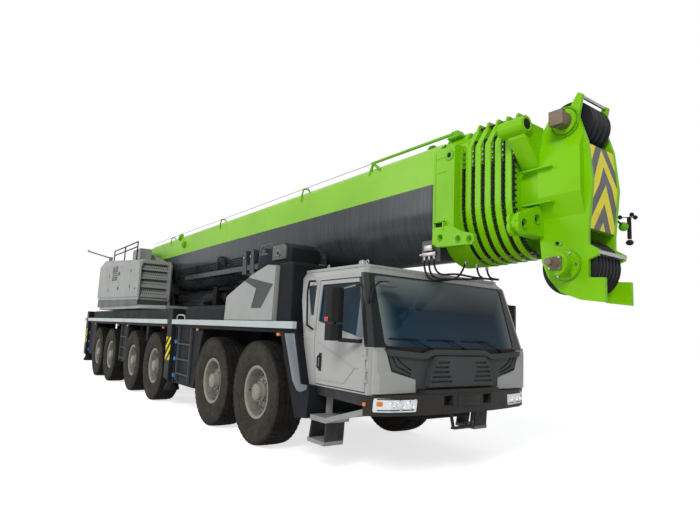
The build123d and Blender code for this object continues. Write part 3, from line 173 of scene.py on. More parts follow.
def fract(value):
    return value.math("FRACT")


def dusted(m, base, grime, mud, top):
    """Road dust over a base colour: patchy, thick low down and thin higher up."""
    low = m.ramp(m.axes()[2], 0.3, top, 1, 0)
    spots = m.ramp(m.noise(5, 6, 0.65), 0.42, 0.72)
    streak = m.ramp(m.noise(2.2, 5, 0.6, (9, 9, 0.7)), 0.45, 0.75)
    return m.mix((low * 0.85 + 0.15) * (spots | streak * 0.6) * grime, base, mud)


def painted(m, base, rough=0.35, coat=0.08, grime=0.25, mud=(0.16, 0.14, 0.12), top=1.4,
            wear=0.25, specular=0.12):
    """Finish shared by all paints: dust, worn edges, fine peel."""
    edges = m.worn() * m.ramp(m.noise(14, 4), 0.4, 0.65) * wear
    m.color(m.mix(edges, dusted(m, base, grime, mud, top), (0.3, 0.29, 0.27)))
    m.rough(3, 5, rough - 0.05, rough + 0.12)
    m.set(specular=specular, coat=coat, coat_roughness=0.12)
    m.bump(m.noise(260, 2), 0.12, 0.0006)
    return m


def paint(name, color, cloud=0.28, **finish):
    m = Nodes(name)
    clouds = m.ramp(m.noise(1.3, 4), 0.35, 0.7, 0, 0.6)
    return painted(m, m.mix(clouds, color, scaled(color, 1 - cloud)), **finish)


def zoned(name, color, other, zone, **finish):
    """Paint in two colours, the second one where zone(x, y, z) is 1."""
    m = Nodes(name)
    clouds = m.ramp(m.noise(1.3, 4), 0.35, 0.7, 0, 0.5)
    first = m.mix(clouds, color, scaled(color, 0.78))
    second = m.mix(clouds, other, scaled(other, 0.7))
    return painted(m, m.mix(zone(*m.axes()), first, second), **finish)


def plastic(name, color, rough=0.5):
    m = Nodes(name, 0.003)
    lighter = tuple(channel * 1.5 + 0.004 for channel in color)
    m.color(m.mix(m.ramp(m.noise(2, 4), 0.35, 0.7, 0, 0.4), color, lighter))
    m.rough(9, 3, rough - 0.06, rough + 0.08)
    m.set(specular=0.1)
    m.bump(m.noise(420, 2), 0.25, 0.0005)
    return m


def metal(name, color, rough, scratch, metallic=1):
    m = Nodes(name, 0.003)
    m.color(m.mix(m.ramp(m.noise(6, 5), 0.35, 0.7, 0, 0.5), color, scaled(color, 0.6)))
    m.rough(40, 4, rough - 0.08, rough + 0.12)
    m.set(metallic=metallic)
    m.bump(m.noise(180, 3), scratch, 0.0004)
    return m


BAND_Z = 3.5
GREEN = (0.235, 0.62, 0.002)
# green of the band: the head's green made lighter, a painted sky sheen
BAND_GREEN_WITH_SHEEN = (0.3, 0.66, 0.045)
GRAPHITE = (0.026, 0.031, 0.034)
COLLAR_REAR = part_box("boom_base")[1][0] - 0.655


def boom_paint():
    """Base section: green band along the top, lighter than the head's green as a painted sky sheen, and gloss
    graphite below it.
    """
    m = Nodes("boom_paint")
    x, y, z = m.axes()
    front = x > COLLAR_REAR
    clouds = m.ramp(m.noise(1.1, 4), 0.35, 0.7)
    # band takes the lighter green with its painted sheen; head takes the plain green
    band, head = (m.mix(clouds, color, scaled(color, 0.85)) for color in (BAND_GREEN_WITH_SHEEN, GREEN))
    streaks = m.ramp(m.noise(3, 5, 0.6, (14, 1, 0.5)), 0.3, 0.7)
    area = (z > BAND_Z) | front
    m.color(m.mix(area, m.mix(streaks, GRAPHITE, scaled(GRAPHITE, 2.3)), m.mix(front, band, head)))
    shine = m.ramp(m.noise(2.4, 4, 0.6, (10, 1, 0.8)), 0.3, 0.7, 0.2, 0.34)
    m.put("Roughness", area * 0.14 + shine)
    m.set(specular=0.16, coat=0.06, coat_roughness=0.15)
    m.bump(m.noise(220, 2), 0.1, 0.0006)
    return m


def from_axle(m):
    """Distance from the wheel's axis."""
    x, y, z = m.axes()
    return (x * x + z * z).math("SQRT")


def tyre_rubber():
    m = Nodes("tyre_rubber", 0.003)
    dust = m.ramp(m.noise(7, 6, 0.7), 0.3, 0.7)
    wall = m.mix(dust, (0.03, 0.027, 0.023), (0.075, 0.066, 0.056))
    tread = m.mix(dust, (0.01, 0.0095, 0.009), (0.03, 0.027, 0.024))
    m.color(m.mix(m.ramp(from_axle(m), 0.66, 0.73), wall, tread))
    m.rough(20, 3, 0.72, 0.92)
    m.set(specular=0.06)
    m.bump(m.noise(150, 4), 0.35, 0.001)
    return m


def rim_paint():
    """Wheel paint, with brown dust in its hollows and at its rivets."""
    m = Nodes("rim_paint", 0.003)
    radius = from_axle(m)
    hollow = m.ramp(radius, 0.15, 0.22) * m.ramp(radius, 0.3, 0.34, 1, 0)
    dirt = hollow * 0.55 + m.ramp(m.noise(16, 6, 0.7), 0.4, 0.75, 0, 0.5)
    m.color(m.mix(dirt, (0.285, 0.27, 0.225), (0.085, 0.066, 0.048)))
    m.rough(9, 4, 0.42, 0.62)
    m.bump(m.noise(120, 3), 0.15, 0.0006)
    return m


def tinted_glass():
    """Dark blue glass, with a painted pale reflection along the windshield's sides and top."""
    m = Nodes("tinted_glass", 0.002)
    x, y, z = m.axes()
    body = m.mix(m.ramp(z, 1.5, 2.3), (0.008, 0.042, 0.082), (0.01, 0.018, 0.026))
    side = m.ramp(abs(y), 0.86, 1.14)
    # painted reflection: pale grey along the windshield's sides and top
    edge = (side * side | m.ramp(z, 1.95, 2.36)) * (x > AXLE_1 + 2.2)
    m.color(m.mix(edge * 0.7, body, (0.3, 0.33, 0.35)))
    m.rough(2, 3, 0.02, 0.07)
    m.set(specular=0.1)
    m.bump(m.noise(0.9, 1), 0.05, 0.002)
    return m


def chevron_board():
    """Warning stripes that are mirrored about Y = 0."""
    m = Nodes("chevron_board", 0.003)
    x, y, z = m.axes()
    step = fract((abs(y) * 1.65 + z + 0.162) / 0.374)
    dirt = m.ramp(m.noise(7, 5), 0.45, 0.8, 0, 0.35)
    m.color(m.mix(dirt, m.mix(step > 0.5, (0.075, 0.078, 0.088), YELLOW), (0.2, 0.18, 0.1)))
    m.rough(8, 4, 0.34, 0.5)
    m.bump(m.noise(300, 2), 0.08, 0.0004)
    return m


def perforated():
    """Tread plate with rows of round holes, drawn as near-black dots of painted shade."""
    m = Nodes("perforated_plate", 0.003)
    x, y, z = m.axes()
    row = (z + x) / 0.048
    stagger = fract(row.math("FLOOR") * 0.5)
    a = fract(y / 0.048 + stagger) - 0.5
    b = fract(row) - 0.5
    # holes: near-black dots, painted shade where the plate is not cut
    m.color(m.mix(a * a + b * b < 0.075, (0.36, 0.37, 0.35), (0.02, 0.02, 0.02)))
    m.rough(9, 3, 0.45, 0.6)
    m.bump(m.noise(200, 2), 0.1, 0.0005)
    return m


def checker_plate():
    """Step plate with raised ribs."""
    m = Nodes("checker_plate", 0.003)
    x, y, z = m.axes()
    lines = ((x + y) * 110).math("SINE") | ((x - y) * 110).math("SINE")
    ribs = m.ramp(lines, 0.55, 0.9)
    base = m.mix(ribs, (0.25, 0.255, 0.24), (0.42, 0.43, 0.41))
    m.color(dusted(m, base, 0.5, (0.15, 0.13, 0.1), 1.4))
    m.rough(9, 3, 0.38, 0.55)
    m.bump(ribs, 0.5, 0.002)
    return m


CAB = (0.43, 0.435, 0.415)
DARK = (0.016, 0.018, 0.022)
UPPER = (0.37, 0.385, 0.365)
YELLOW = (0.9, 0.78, 0)
CAB_FACE = AXLE_1 + 2.5  # X of the cab's upright face
SCREEN_FOOT, SCREEN_LEAN = 1.48, 0.3046
DOOR_LEAN = 0.3143
HOUSE_RISE = 0.0184  # slope of the dark strip along the upper housings


def cab_pillars(x, y, z):
    """Corner posts beside the windshield and the sill below it."""
    lean = (z - SCREEN_FOOT | 0) * SCREEN_LEAN
    return (x + lean > CAB_FACE - 0.066) * between(z, 1.497, 2.352)


def door_pillar(x, y, z):
    """Strip of the door between its window and the corner post."""
    return (x + z * DOOR_LEAN > CAB_FACE - 0.142 + 1.61 * DOOR_LEAN) * between(z, 1.5, 2.4)


def step_dark(x, y, z):
    return (z > 0.845) | between(z, 0.376, 0.589) * (x < CAB_FACE - 0.65)


def arrow_floor(x, y, z):
    """Floor of the sunk arrow in the housing behind the cab."""
    return between(abs(y), 1.4695, 1.4745)


def deck_ladders(x, y, z):
    return (abs(y) > 1.4005) * (z < 1.603)


def house_base(x, y, z):
    """Dark strip under the housings, with the seams of their doors, and the slots of their louvres as painted
    shade.
    """
    # louvre slots: dark stripes of painted shade
    louvre_slot_shade = fract(z / 0.062) > 0.5
    marks = between(x, AXLE_1 - 9.95, AXLE_1 - 9.28) * between(z, 2.86, 3.3) * louvre_slot_shade
    for seam in (-10.41, -9.1, -7.75):
        marks = marks | between(x, AXLE_1 + seam - 0.006, AXLE_1 + seam + 0.006)
    return (z + x * HOUSE_RISE < 2.262 - 2.56 * HOUSE_RISE) | marks * (abs(y) > 1.4485)


def post_paint():
    """Outrigger post: dark, with a panel of warning stripes on its outer face."""
    m = Nodes("post_paint")
    x, y, z = m.axes()
    stripes = m.mix(fract((x * -0.9 + z) / 0.2) > 0.5, (0.015, 0.015, 0.016), YELLOW)
    panel = (abs(y) > 1.4805) * between(z, 0.93, 1.4)
    return painted(m, m.mix(panel, DARK, stripes), rough=0.45, grime=0.15, top=2, specular=0.06, coat=0)


DULL = {"specular": 0.04, "coat": 0, "rough": 0.5}
MUD = (0.07, 0.065, 0.055)
MAT = {
    "boom": boom_paint(),
    "green": paint("green_paint", GREEN, 0.18, rough=0.34, grime=0.06, wear=0.15),
    "lug": paint("lug_paint", (0.16, 0.5, 0.006), 0.3, rough=0.34, grime=0.1),
    "cab": zoned("cab_paint", CAB, scaled(DARK, 1.2), cab_pillars, rough=0.32, coat=0.5),
    "door": zoned("door_paint", CAB, scaled(DARK, 1.2), door_pillar, rough=0.32, coat=0.5),
    "housing": zoned("housing_paint", (0.4, 0.41, 0.39), (0.062, 0.066, 0.07), arrow_floor,
                     grime=0.3, top=2.6),
    "upper": paint("upper_paint", UPPER, rough=0.38, grime=0.3, top=3),
    "house": zoned("upper_housing_paint", UPPER, (0.075, 0.08, 0.08), house_base, rough=0.38,
                   grime=0.3, top=3),
    "rail": paint("rail_paint", (0.56, 0.62, 0.62), coat=0.4, grime=0.3, top=1.8),
    "frame": paint("frame_paint", DARK, grime=0.35, mud=MUD, **DULL),
    "deck": paint("deck_paint", DARK, grime=0.15, mud=(0.06, 0.058, 0.053), top=2, **DULL),
    "skirt": zoned("skirt_paint", DARK, (0.1, 0.104, 0.104), deck_ladders, grime=0.3,
                   mud=MUD, **DULL),
    "panel": plastic("panel_plastic", (0.062, 0.065, 0.067), 0.44),
    "bumper": plastic("bumper_plastic", (0.038, 0.034, 0.031), 0.48),
    "black": plastic("black_plastic", (0.014, 0.014, 0.015), 0.45),
    # black for the hoses, and for the painted shade in bores and recesses
    "hose": plastic("black_hose_and_hole_shade", (0.012, 0.012, 0.013), 0.55),
    "gear": paint("running_gear_paint", (0.018, 0.018, 0.019), specular=0.05, coat=0, rough=0.55,
                  grime=0.6, mud=(0.1, 0.085, 0.07)),
    "rubber": tyre_rubber(),
    "rim": rim_paint(),
    "glass": tinted_glass(),
    "barrel": paint("barrel_paint", (0.035, 0.037, 0.041), rough=0.22, coat=0.7, grime=0.1),
    "chrome": metal("chrome", (0.75, 0.75, 0.77), 0.12, 0.05),
    "steel": metal("bare_steel", (0.42, 0.41, 0.4), 0.35, 0.2),
    "brown": metal("greased_pin", (0.2, 0.15, 0.11), 0.5, 0.3, 0.6),
    "nylon": plastic("nylon", (0.018, 0.019, 0.022), 0.42),
    "steps": zoned("step_paint", (0.36, 0.37, 0.35), DARK, step_dark, rough=0.42, grime=0.5),
    "checker": checker_plate(),
    "holes": perforated(),
    "blue": paint("clamp_paint", (0.02, 0.21, 0.62), rough=0.4),
    "orange": metal("amber_lens", (0.95, 0.22, 0.01), 0.12, 0.05, 0),
    "red": metal("red_lens", (0.6, 0.02, 0.01), 0.15, 0.05, 0),
    "white": metal("clear_lens", (0.8, 0.83, 0.86), 0.08, 0.05, 0.3),
    "mirror": metal("mirror_glass", (0.55, 0.6, 0.65), 0.06, 0.02),
    "mirror_grey": plastic("mirror_shell", (0.14, 0.145, 0.145), 0.4),
    "silver": paint("silver_strip", (0.15, 0.17, 0.2), rough=0.3, coat=0.4, grime=0.3),
    "post": post_paint(),
    "cover": paint("box_cover_paint", (0.13, 0.145, 0.14), rough=0.45, grime=0.2),
    "board": chevron_board(),
}

# material, and the starts of the names of the CAD nodes that have it
NODE_MATERIAL = {
    "rubber": "wheel_", "gear": "knuckle_ axle_beams engine_block hoist_drum",
    "frame": "chassis_frame jack_", "post": "outrigger_", "skirt": "decks", "rail": "side_rails",
    "housing": "deck_housings", "deck": "deck_boxes mudguards", "cab": "cab_shell operator_",
    "glass": "cab_glass", "door": "door_", "panel": "front_panel", "bumper": "bumper",
    "white": "headlamps", "steps": "cab_steps", "upper": "slewing_platform",
    "house": "upper_housings", "barrel": "luff_barrel", "chrome": "luff_rod", "boom": "boom_base",
    "green": "boom_section_ boom_tip", "nylon": "sheaves_",
}
for name, obj in nodes.items():
    key = next(key for key, starts in NODE_MATERIAL.items() if name.startswith(tuple(starts.split())))
    for spot in obj.material_slots:
        spot.material = MAT[key].material


# ---- shapes
PLACE = {
    "x": lambda a, b, t: (t, a, b),
    "y": lambda a, b, t: (a, t, b),
    "z": lambda a, b, t: (a, b, t),
}


class Shape:
    """Mesh built from simple forms, each with its own material."""

    def __init__(self, origin=AXLE_1):
        self.bm = bmesh.new()
        self.keys = []
        self.origin = origin
        self.side = 1

    def sides(self):
        """Right side, then left: on the right, every Y is mirrored."""
        for self.side in SIDES.values():
            yield self.side

    def spot(self, point):
        x, y, z = point
        return Vector((x, self.side * y, z))

    def number(self, key):
        if key not in self.keys:
            self.keys.append(key)
        return self.keys.index(key)

    def finish(self, faces, key, soft=0):
        for face in faces:
            face.material_index = self.number(key)
        if soft:
            edges = {edge for face in faces for edge in face.edges if edge.is_manifold}
            sharp = [edge for edge in edges if edge.calc_face_angle(0) > 0.6]
            bmesh.ops.bevel(
                self.bm, geom=sharp, offset=soft, segments=2, profile=0.5, affect="EDGES",
                clamp_overlap=True, material=self.number(key))

    def band(self, low, high):
        """Faces between two loops of points."""
        return [
            self.bm.faces.new((low[i - 1], low[i], high[i], high[i - 1])) for i in range(len(low))
        ]

    def caps(self, low, high):
        return [self.bm.faces.new(reversed(low)), self.bm.faces.new(high)]

    def prism(self, key, axis, outline, low, high, soft=0):
        """Outline in the two other axes, from low to high on the axis."""
        rings = [
            [self.bm.verts.new(self.spot(PLACE[axis](a, b, t))) for a, b in outline] for t in (low, high)
        ]
        faces = self.caps(*rings) + self.band(*rings)
        bmesh.ops.recalc_face_normals(self.bm, faces=faces)
        self.finish(faces, key, soft)

    def box(self, key, x, y, z, soft=0):
        (x0, x1), (y0, y1) = sorted(x), sorted(y)
        self.prism(key, "z", [(x0, y0), (x1, y0), (x1, y1), (x0, y1)], *sorted(z), soft)

    def rod(self, key, start, end, radius, sides=16, end_radius=None):
        start, end = self.spot(start), self.spot(end)
        turn = (end - start).to_track_quat("Z", "Y").to_matrix()
        rings = [
            [self.bm.verts.new(at + turn @ Vector((a, b, 0))) for a, b in circle(sides, size)]
            for at, size in ((start, radius), (end, end_radius or radius))
        ]
        self.finish(self.caps(*rings) + self.band(*rings), key)

    def along(self, key, axis, a, b, low, high, *size):
        """Rod along an axis, at a and b on the two others."""
        self.rod(key, PLACE[axis](a, b, low), PLACE[axis](a, b, high), *size)

    def bent(self, key, points, radius, sides=12):
        """Bent tube: straight runs with a ball at each turn."""
        for start, end in zip(points, points[1:]):
            self.rod(key, start, end, radius, sides)
        for point in points[1:-1]:
            self.ball(key, point, radius)

    def ball(self, key, at, radius, flat=(1, 1, 1), sides=12):
        made = bmesh.ops.create_uvsphere(
            self.bm, u_segments=sides, v_segments=max(6, sides // 2), radius=radius,
            matrix=Matrix.Translation(self.spot(at)) @ Matrix.Diagonal((*flat, 1)))
        self.finish({face for vert in made["verts"] for face in vert.link_faces}, key)

    def lathe(self, key, profile, centre, axis, steps=48, closed=False):
        """Profile (radius, distance along the axis) turned about an axis through centre."""
        centre = self.spot(centre)
        along = Vector(PLACE[axis](0, 0, 1))
        one = Vector((along.z, along.x, along.y))
        two = along.cross(one)
        rings = [
            [self.bm.verts.new(centre + along * t + one * a + two * b) for a, b in circle(steps, r)]
            for r, t in profile
        ]
        pairs = list(zip(rings, rings[1:]))
        if closed:
            pairs.append((rings[-1], rings[0]))
        faces = [face for pair in pairs for face in self.band(*pair)]
        if not closed:
            faces += self.caps(rings[0], rings[-1])
        bmesh.ops.recalc_face_normals(self.bm, faces=faces)
        self.finish(faces, key)

    def ring(self, key, centre, axis, radius, tube, steps=20, sides=8):
        profile = [(radius + a, b) for a, b in circle(sides, tube)]
        self.lathe(key, profile, centre, axis, steps, closed=True)

    def copied(self, node, rule):
        """Faces of a CAD node; rule(at, normal, low, high) names each face's material,
        where low and high are the corners of the solid that the face belongs to."""
        source = bmesh.new()
        source.from_mesh(nodes[node].data)
        bmesh.ops.translate(source, verts=source.verts, vec=(-self.origin, 0, 0))
        bmesh.ops.remove_doubles(source, verts=source.verts, dist=1e-6)
        bmesh.ops.dissolve_limit(source, angle_limit=0.004, verts=source.verts, edges=source.edges)
        corners = {}
        for seed in source.verts:
            if seed not in corners:
                island, fresh = {seed}, {seed}
                while fresh:
                    near = {edge.other_vert(vert) for vert in fresh for edge in vert.link_edges}
                    fresh = near - island
                    island |= fresh
                axes = list(zip(*(vert.co for vert in island)))
                ends = Vector(map(min, axes)), Vector(map(max, axes))
                corners.update(dict.fromkeys(island, ends))
        new = {vert: self.bm.verts.new(vert.co) for vert in source.verts}
        for face in source.faces:
            made = self.bm.faces.new([new[vert] for vert in face.verts])
            ends = corners[face.verts[0]]
            made.material_index = self.number(rule(face.calc_center_median(), face.normal, *ends))
        source.free()

    def mesh(self, name, angle=32):
        mesh = bpy.data.meshes.new(name)
        bmesh.ops.translate(self.bm, verts=self.bm.verts, vec=(self.origin, 0, 0))
        self.bm.to_mesh(mesh)
        self.bm.free()
        for key in self.keys:
            mesh.materials.append(MAT[key].material)
        mesh.polygons.foreach_set("use_smooth", [True] * len(mesh.polygons))
        mesh.set_sharp_from_angle(angle=radians(angle))
        return mesh

    def piece(self, name, body, *replaced, angle=32):
        show(name, self.mesh(name, angle), body, *replaced)


def show(name, mesh, body, *replaced, place=None):
    """Object of a mesh, riding on a body and standing for CAD nodes."""
    obj = linked(name, mesh)
    if place is not None:
        obj.matrix_world = place
    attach(obj, body)
    if replaced:
        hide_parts(*replaced)


# ---- wheels
TYRE_STEPS = 192
TREAD_ROWS = 16
TREAD_HALF = 0.192
BLOCKS = 48
WALL = (  # radius and half width, from bead to shoulder
    (0.3575, 0.16), (0.376, 0.163), (0.392, 0.178), (0.425, 0.199), (0.432, 0.205), (0.44, 0.203),
    (0.495, 0.2135), (0.5, 0.2175), (0.507, 0.2155), (0.56, 0.2222), (0.61, 0.2215), (0.616, 0.218),
    (0.64, 0.2155), (0.668, 0.2125), (0.68, 0.216), (0.712, 0.206), (0.728, 0.2),
)


def tyre_mesh():
    """Tyre about the origin: sidewalls with rings, and a cut tread with shoulder blocks."""
    tread = []
    for row in range(TREAD_ROWS + 1):
        y = TREAD_HALF * (1 - 2 * row / TREAD_ROWS)
        tread.append((0.74 - 0.01 * (abs(y) / TREAD_HALF) ** 3, y))
    profile = (*WALL, *tread, *((r, -y) for r, y in reversed(WALL)))
    tyre = Shape(0)
    tyre.number("rubber")
    rings = []
    for step in range(TYRE_STEPS):
        turn = 2 * pi * step / TYRE_STEPS
        ring = []
        for r, y in profile:
            phase = (step * BLOCKS / TYRE_STEPS + (3.2 * abs(y) if r > 0.6 else 0)) % 1
            if r >= 0.728 and abs(y) <= TREAD_HALF:
                if 0.06 < abs(y) < 0.085 or abs(y) < 0.006 or (abs(y) > 0.085 and phase < 0.3):
                    r -= 0.014
                elif abs(y) <= 0.06 and (phase + 0.5) % 1 < 0.22:
                    r -= 0.01
            elif r > 0.664 and phase < 0.3:
                y -= copysign(0.01, y)
            ring.append(tyre.bm.verts.new((r * sin(turn), y, r * cos(turn))))
        rings.append(ring)
    for pair in zip(rings, rings[1:] + rings[:1]):
        tyre.band(*pair)
    bmesh.ops.recalc_face_normals(tyre.bm, faces=tyre.bm.faces)
    return tyre.mesh("tyre", 38)


RIM = (  # radius and distance from the middle, round the section
    (0.205, -0.052), (0.214, -0.049), (0.24, -0.036), (0.268, -0.022), (0.29, -0.028),
    (0.312, -0.066), (0.322, -0.12), (0.329, -0.15), (0.336, -0.166), (0.35, -0.174),
    (0.372, -0.178), (0.378, -0.174), (0.378, -0.162), (0.3577, -0.16), (0.352, -0.12),
    (0.345, -0.02), (0.345, 0.06), (0.352, 0.12), (0.3577, 0.16), (0.378, 0.162), (0.378, 0.176),
    (0.338, 0.176), (0.325, 0.15), (0.318, 0.03), (0.29, -0.004), (0.268, 0), (0.205, -0.02),
)
HUB = (  # the same, from the back of the disc to the cap's middle
    (0.206, 0.088), (0.206, -0.052), (0.203, -0.0545), (0.142, -0.0545), (0.139, -0.058),
    (0.139, -0.108), (0.134, -0.114), (0.12, -0.116), (0.1175, -0.12), (0.1175, -0.172),
    (0.112, -0.182), (0.098, -0.189), (0.08, -0.191), (0.074, -0.196), (0.05, -0.197), (0.02, -0.198),
)


def rim_mesh():
    """Rim, disc, nuts and hub cap about the origin; the hub cap is on the -Y side."""
    shape = Shape(0)
    shape.lathe("rim", RIM, (0, 0, 0), "y", 72, closed=True)
    rim = linked("rim_blank", shape.mesh("rim", 35))
    holes = Shape(0)
    for x, z in circle(10, 0.243, 0.5):
        holes.along("rim", "y", x, z, -0.2, 0.1, 0.021)
    cutter = linked("rim_cutter", holes.mesh("rim_cutter"))
    cut = rim.modifiers.new("holes", "BOOLEAN")
    cut.object = cutter
    cut.operation = "DIFFERENCE"
    bpy.context.view_layer.update()
    pierced = bpy.data.meshes.new_from_object(rim.evaluated_get(bpy.context.evaluated_depsgraph_get()))
    bpy.data.objects.remove(rim)
    bpy.data.objects.remove(cutter)
    whole = Shape(0)
    whole.number("rim")
    whole.bm.from_mesh(pierced)
    whole.lathe("rim", HUB, (0, 0, 0), "y", 56)
    for x, z in circle(10, 0.1675):
        whole.along("steel", "y", x, z, -0.052, -0.06, 0.0225, 16)
        whole.along("steel", "y", x, z, -0.06, -0.084, 0.017, 6, 0.016)
        whole.along("steel", "y", x, z, -0.084, -0.098, 0.0095, 10)
    for x, z in circle(8, 0.127, 0.5):
        whole.along("rim", "y", x, z, -0.112, -0.124, 0.0065, 6)
    whole.rod("hose", (0, -0.105, 0.3), (0, -0.15, 0.288), 0.006, 8)
    return whole.mesh("rim", 35)


tyre_data = tyre_mesh()
rim_data = rim_mesh()
for number in range(1, 7):
    for side, sign in SIDES.items():
        node = f"wheel_{number}_{side}"
        low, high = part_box(node)
        facing = Matrix.Rotation(pi if sign > 0 else 0, 4, "Z")
        turned = Matrix.Rotation(pi / 2 * (3 * number + (sign > 0)), 4, "Y")
        place = Matrix.Translation((low + high) / 2) @ facing @ turned
        show(f"tyre_{number}_{side}", tyre_data, node, node, place=place)
        show(f"rim_{number}_{side}", rim_data, node, node, place=place)


# ---- CAD pieces with several finishes
def on_door(at, normal, low, high):
    if low.z > 1.5:
        return "glass"
    if abs(at.y) > 1.45:
        return "mirror" if normal.x < -0.9 and at.z > 1.5 else "black"
    return "door"


def on_operator_cab(at, normal, low, high):
    return "cab" if high.z - low.z > 1.4 else "glass"


def on_operator_door(at, normal, low, high):
    return "cab" if low.z < 2.4 else "glass"


def on_steps(at, normal, low, high):
    tread = 0.6 < at.z < 0.66 or 0.34 < at.z < 0.38
    return "checker" if tread and normal.z > 0.9 else "steps"


def on_housing(at, normal, low, high):
    if normal.x > 0.2 and normal.z > 0.2 and at.x > -7.14 and at.z < 3.3:
        return "holes"
    return "frame" if abs(abs(at.y) - 1.26) < 0.02 and at.z > 3.4 else "house"


TOP_PIN, LOW_PIN = (4.15, 3.86), (4.14, 2.39)
GUARD_BARS = ((4.3, 4.105), (4.45, 2.5))


def on_tip(at, normal, low, high):
    spot = (at.x, at.z)
    if abs(at.y) < 0.2355 and 2.73 < at.z < 3.6 and at.x > 4.25 and normal.x > 0.5:
        return "board"
    if 0.306 < abs(at.y) < 0.46 and dist(spot, TOP_PIN) < 0.17:
        return "brown"
    return "steel" if any(dist(spot, bar) < 0.021 for bar in GUARD_BARS) else "green"


for node, rule in {
    "door_right": on_door, "door_left": on_door, "operator_cab": on_operator_cab,
    "operator_door": on_operator_door, "cab_steps": on_steps, "upper_housings": on_housing,
    "boom_tip": on_tip,
}.items():
    finished = Shape()
    finished.copied(node, rule)
    body = next(body for body, members in bodies.items() if node in members)
    finished.piece(f"{node}_finished", body, node)


# ---- cab details
WIPERS = (  # Y of the pivot, of the arm's end, and of the blade's ends
    (-0.43, -0.76, -1.08, -0.615), (0.157, -0.125, -0.47, 0.008), (0.834, 0.506, 0.138, 0.658),
)
COWL = (
    (-1.165, 1.472), (-0.6, 1.444), (-0.45, 1.492), (0.45, 1.492), (0.6, 1.444), (1.165, 1.472),
    (1.16, 1.513), (-1.16, 1.513),
)
BEACON = (
    (0.062, 0), (0.062, 0.012), (0.052, 0.02), (0.05, 0.045), (0.04, 0.064), (0.02, 0.074), (0.004, 0.076),
)


def cab_trim():
    trim = Shape()
    trim.prism("black", "x", COWL, 2.499, 2.512)
    foot, z = 1.488, 1.605  # Z of the wipers' pivots and blades
    x = 2.486 - (z - SCREEN_FOOT) * SCREEN_LEAN
    for pivot, elbow, low, high in WIPERS:
        trim.along("black", "x", pivot, foot, 2.505, 2.545, 0.016)
        trim.rod("black", (2.538, pivot, foot), (x + 0.03, elbow, z), 0.009, 8, 0.006)
        trim.rod("black", (x + 0.012, low, z - 0.004), (x + 0.012, high, z - 0.012), 0.008, 8)
        trim.rod("black", (x + 0.026, elbow - 0.12, z + 0.002), (x + 0.026, elbow + 0.1, z - 0.004), 0.005, 6)
    for _ in trim.sides():
        trim.lathe("cab", BEACON, (1.95, 1.1, 2.461), "z", 24)
        for x in (1.3, 2.12):
            trim.along("steel", "z", x, 1.16, 2.46, 2.472, 0.016, 12)
            trim.ring("steel", (x, 1.16, 2.495), "y", 0.02, 0.006)
        trim.bent("black", (
            (1.2, 1.3, 2.3), (1.195, 1.385, 2.285), (1.225, 1.425, 2.15), (1.285, 1.445, 1.72),
            (1.3, 1.36, 1.665)), 0.013, 10)
        trim.box("orange", (2.412, 2.452), (1.372, 1.392), (0.866, 0.906), 0.004)
    trim.piece("cab_trim", "chassis")


def kerb_mirror():
    arm = Shape()
    arm.bent("black", (
        (2.335, -1.285, 1.985), (2.375, -1.3, 2.02), (2.365, -1.255, 2.16), (2.395, -1.2, 2.235),
        (2.4, -1.06, 2.245)), 0.01, 10)
    arm.ball("mirror_grey", (2.4, -1.06, 2.208), 0.14, (0.45, 1, 0.24), 24)
    arm.piece("kerb_mirror", "chassis")


def lamp_front(y, out=0):
    """Point (X, Y) before the bumper's front face, at a distance from the middle."""
    return (2.66 - (y - 0.76) * 0.1842 if y < 1.14 else 2.59 - (y - 1.14) * 0.4615) + out, y


def headlamp_parts():
    lamps = Shape()
    for _ in lamps.sides():
        for y, radius in ((0.885, 0.05), (1.01, 0.056), (1.12, 0.032)):
            x, y = lamp_front(y)
            lamps.lathe("chrome", (
                (radius, -0.03), (radius, 0.006), (radius - 0.006, 0.01), (radius - 0.012, 0.002),
                (radius - 0.014, -0.002)), (x, y, 0.882), "x", 28)
            lamps.ball("white", (x - 0.01, y, 0.882), radius - 0.013, (0.6, 1, 1), 20)
        amber = [lamp_front(y, 0.006) for y in (1.22, 1.285)] + [lamp_front(y, -0.02) for y in (1.285, 1.22)]
        lamps.prism("orange", "z", amber, 0.868, 0.922, 0.01)
        strip = [lamp_front(y, 0.004) for y in (0.84, 1.14, 1.28)]
        strip += [lamp_front(y, -0.01) for y in (1.28, 1.14, 0.84)]
        for z in (0.822, 0.938):
            lamps.prism("black", "z", strip, z, z + 0.01)
    lamps.box("bumper", (2.698, 2.709), (-0.2, 0.2), (0.842, 0.962), 0.006)
    lamps.piece("lamp_parts", "chassis")


CREASES = (  # X and Z of the two creases in a door's skin
    ((1.46, 1.505), (1.475, 1.52), (2.2, 1.262), (2.3, 1.262), (2.3, 1.25), (2.19, 1.25)),
    ((1.47, 1.075), (2.03, 1.075), (2.22, 1.25), (2.235, 1.25), (2.04, 1.062), (1.47, 1.062)),
)


def door_parts(side):
    parts = Shape()
    parts.side = SIDES[side]
    parts.box("black", (1.5, 1.56), (1.376, 1.384), (1.165, 1.385), 0.006)
    parts.bent("black", (
        (1.515, 1.38, 1.195), (1.515, 1.412, 1.215), (1.515, 1.412, 1.335), (1.515, 1.38, 1.355)), 0.01, 10)
    parts.box("red", (2.045, 2.115), (1.686, 1.694), (1.76, 1.812), 0.004)
    parts.bent("black", ((2.33, 1.36, 1.56), (2.34, 1.42, 1.555), (2.16, 1.56, 1.56)), 0.022, 10)
    for crease in CREASES:
        parts.prism("door", "y", crease, 1.378, 1.387)
    parts.piece(f"door_fittings_{side}", f"door_{side}")


# ---- deck and sides
MARKERS = (-11.71, -8.63, -7.615, -4.575, -2.53, 0.553)
CLAMPS = ((-3.7, (1.315, 0.98, 0.65)), (-12.5, (1.27, 0.98, 0.72)))
GUARD_STRIP = (  # X and Z on the slanted mudguard
    (0.8, 1.602), (1.055, 1.602), (1.275, 0.985), (1.43, 0.983), (1.42, 0.93), (1.28, 0.885),
    (1.19, 0.9), (1.07, 1.01),
)


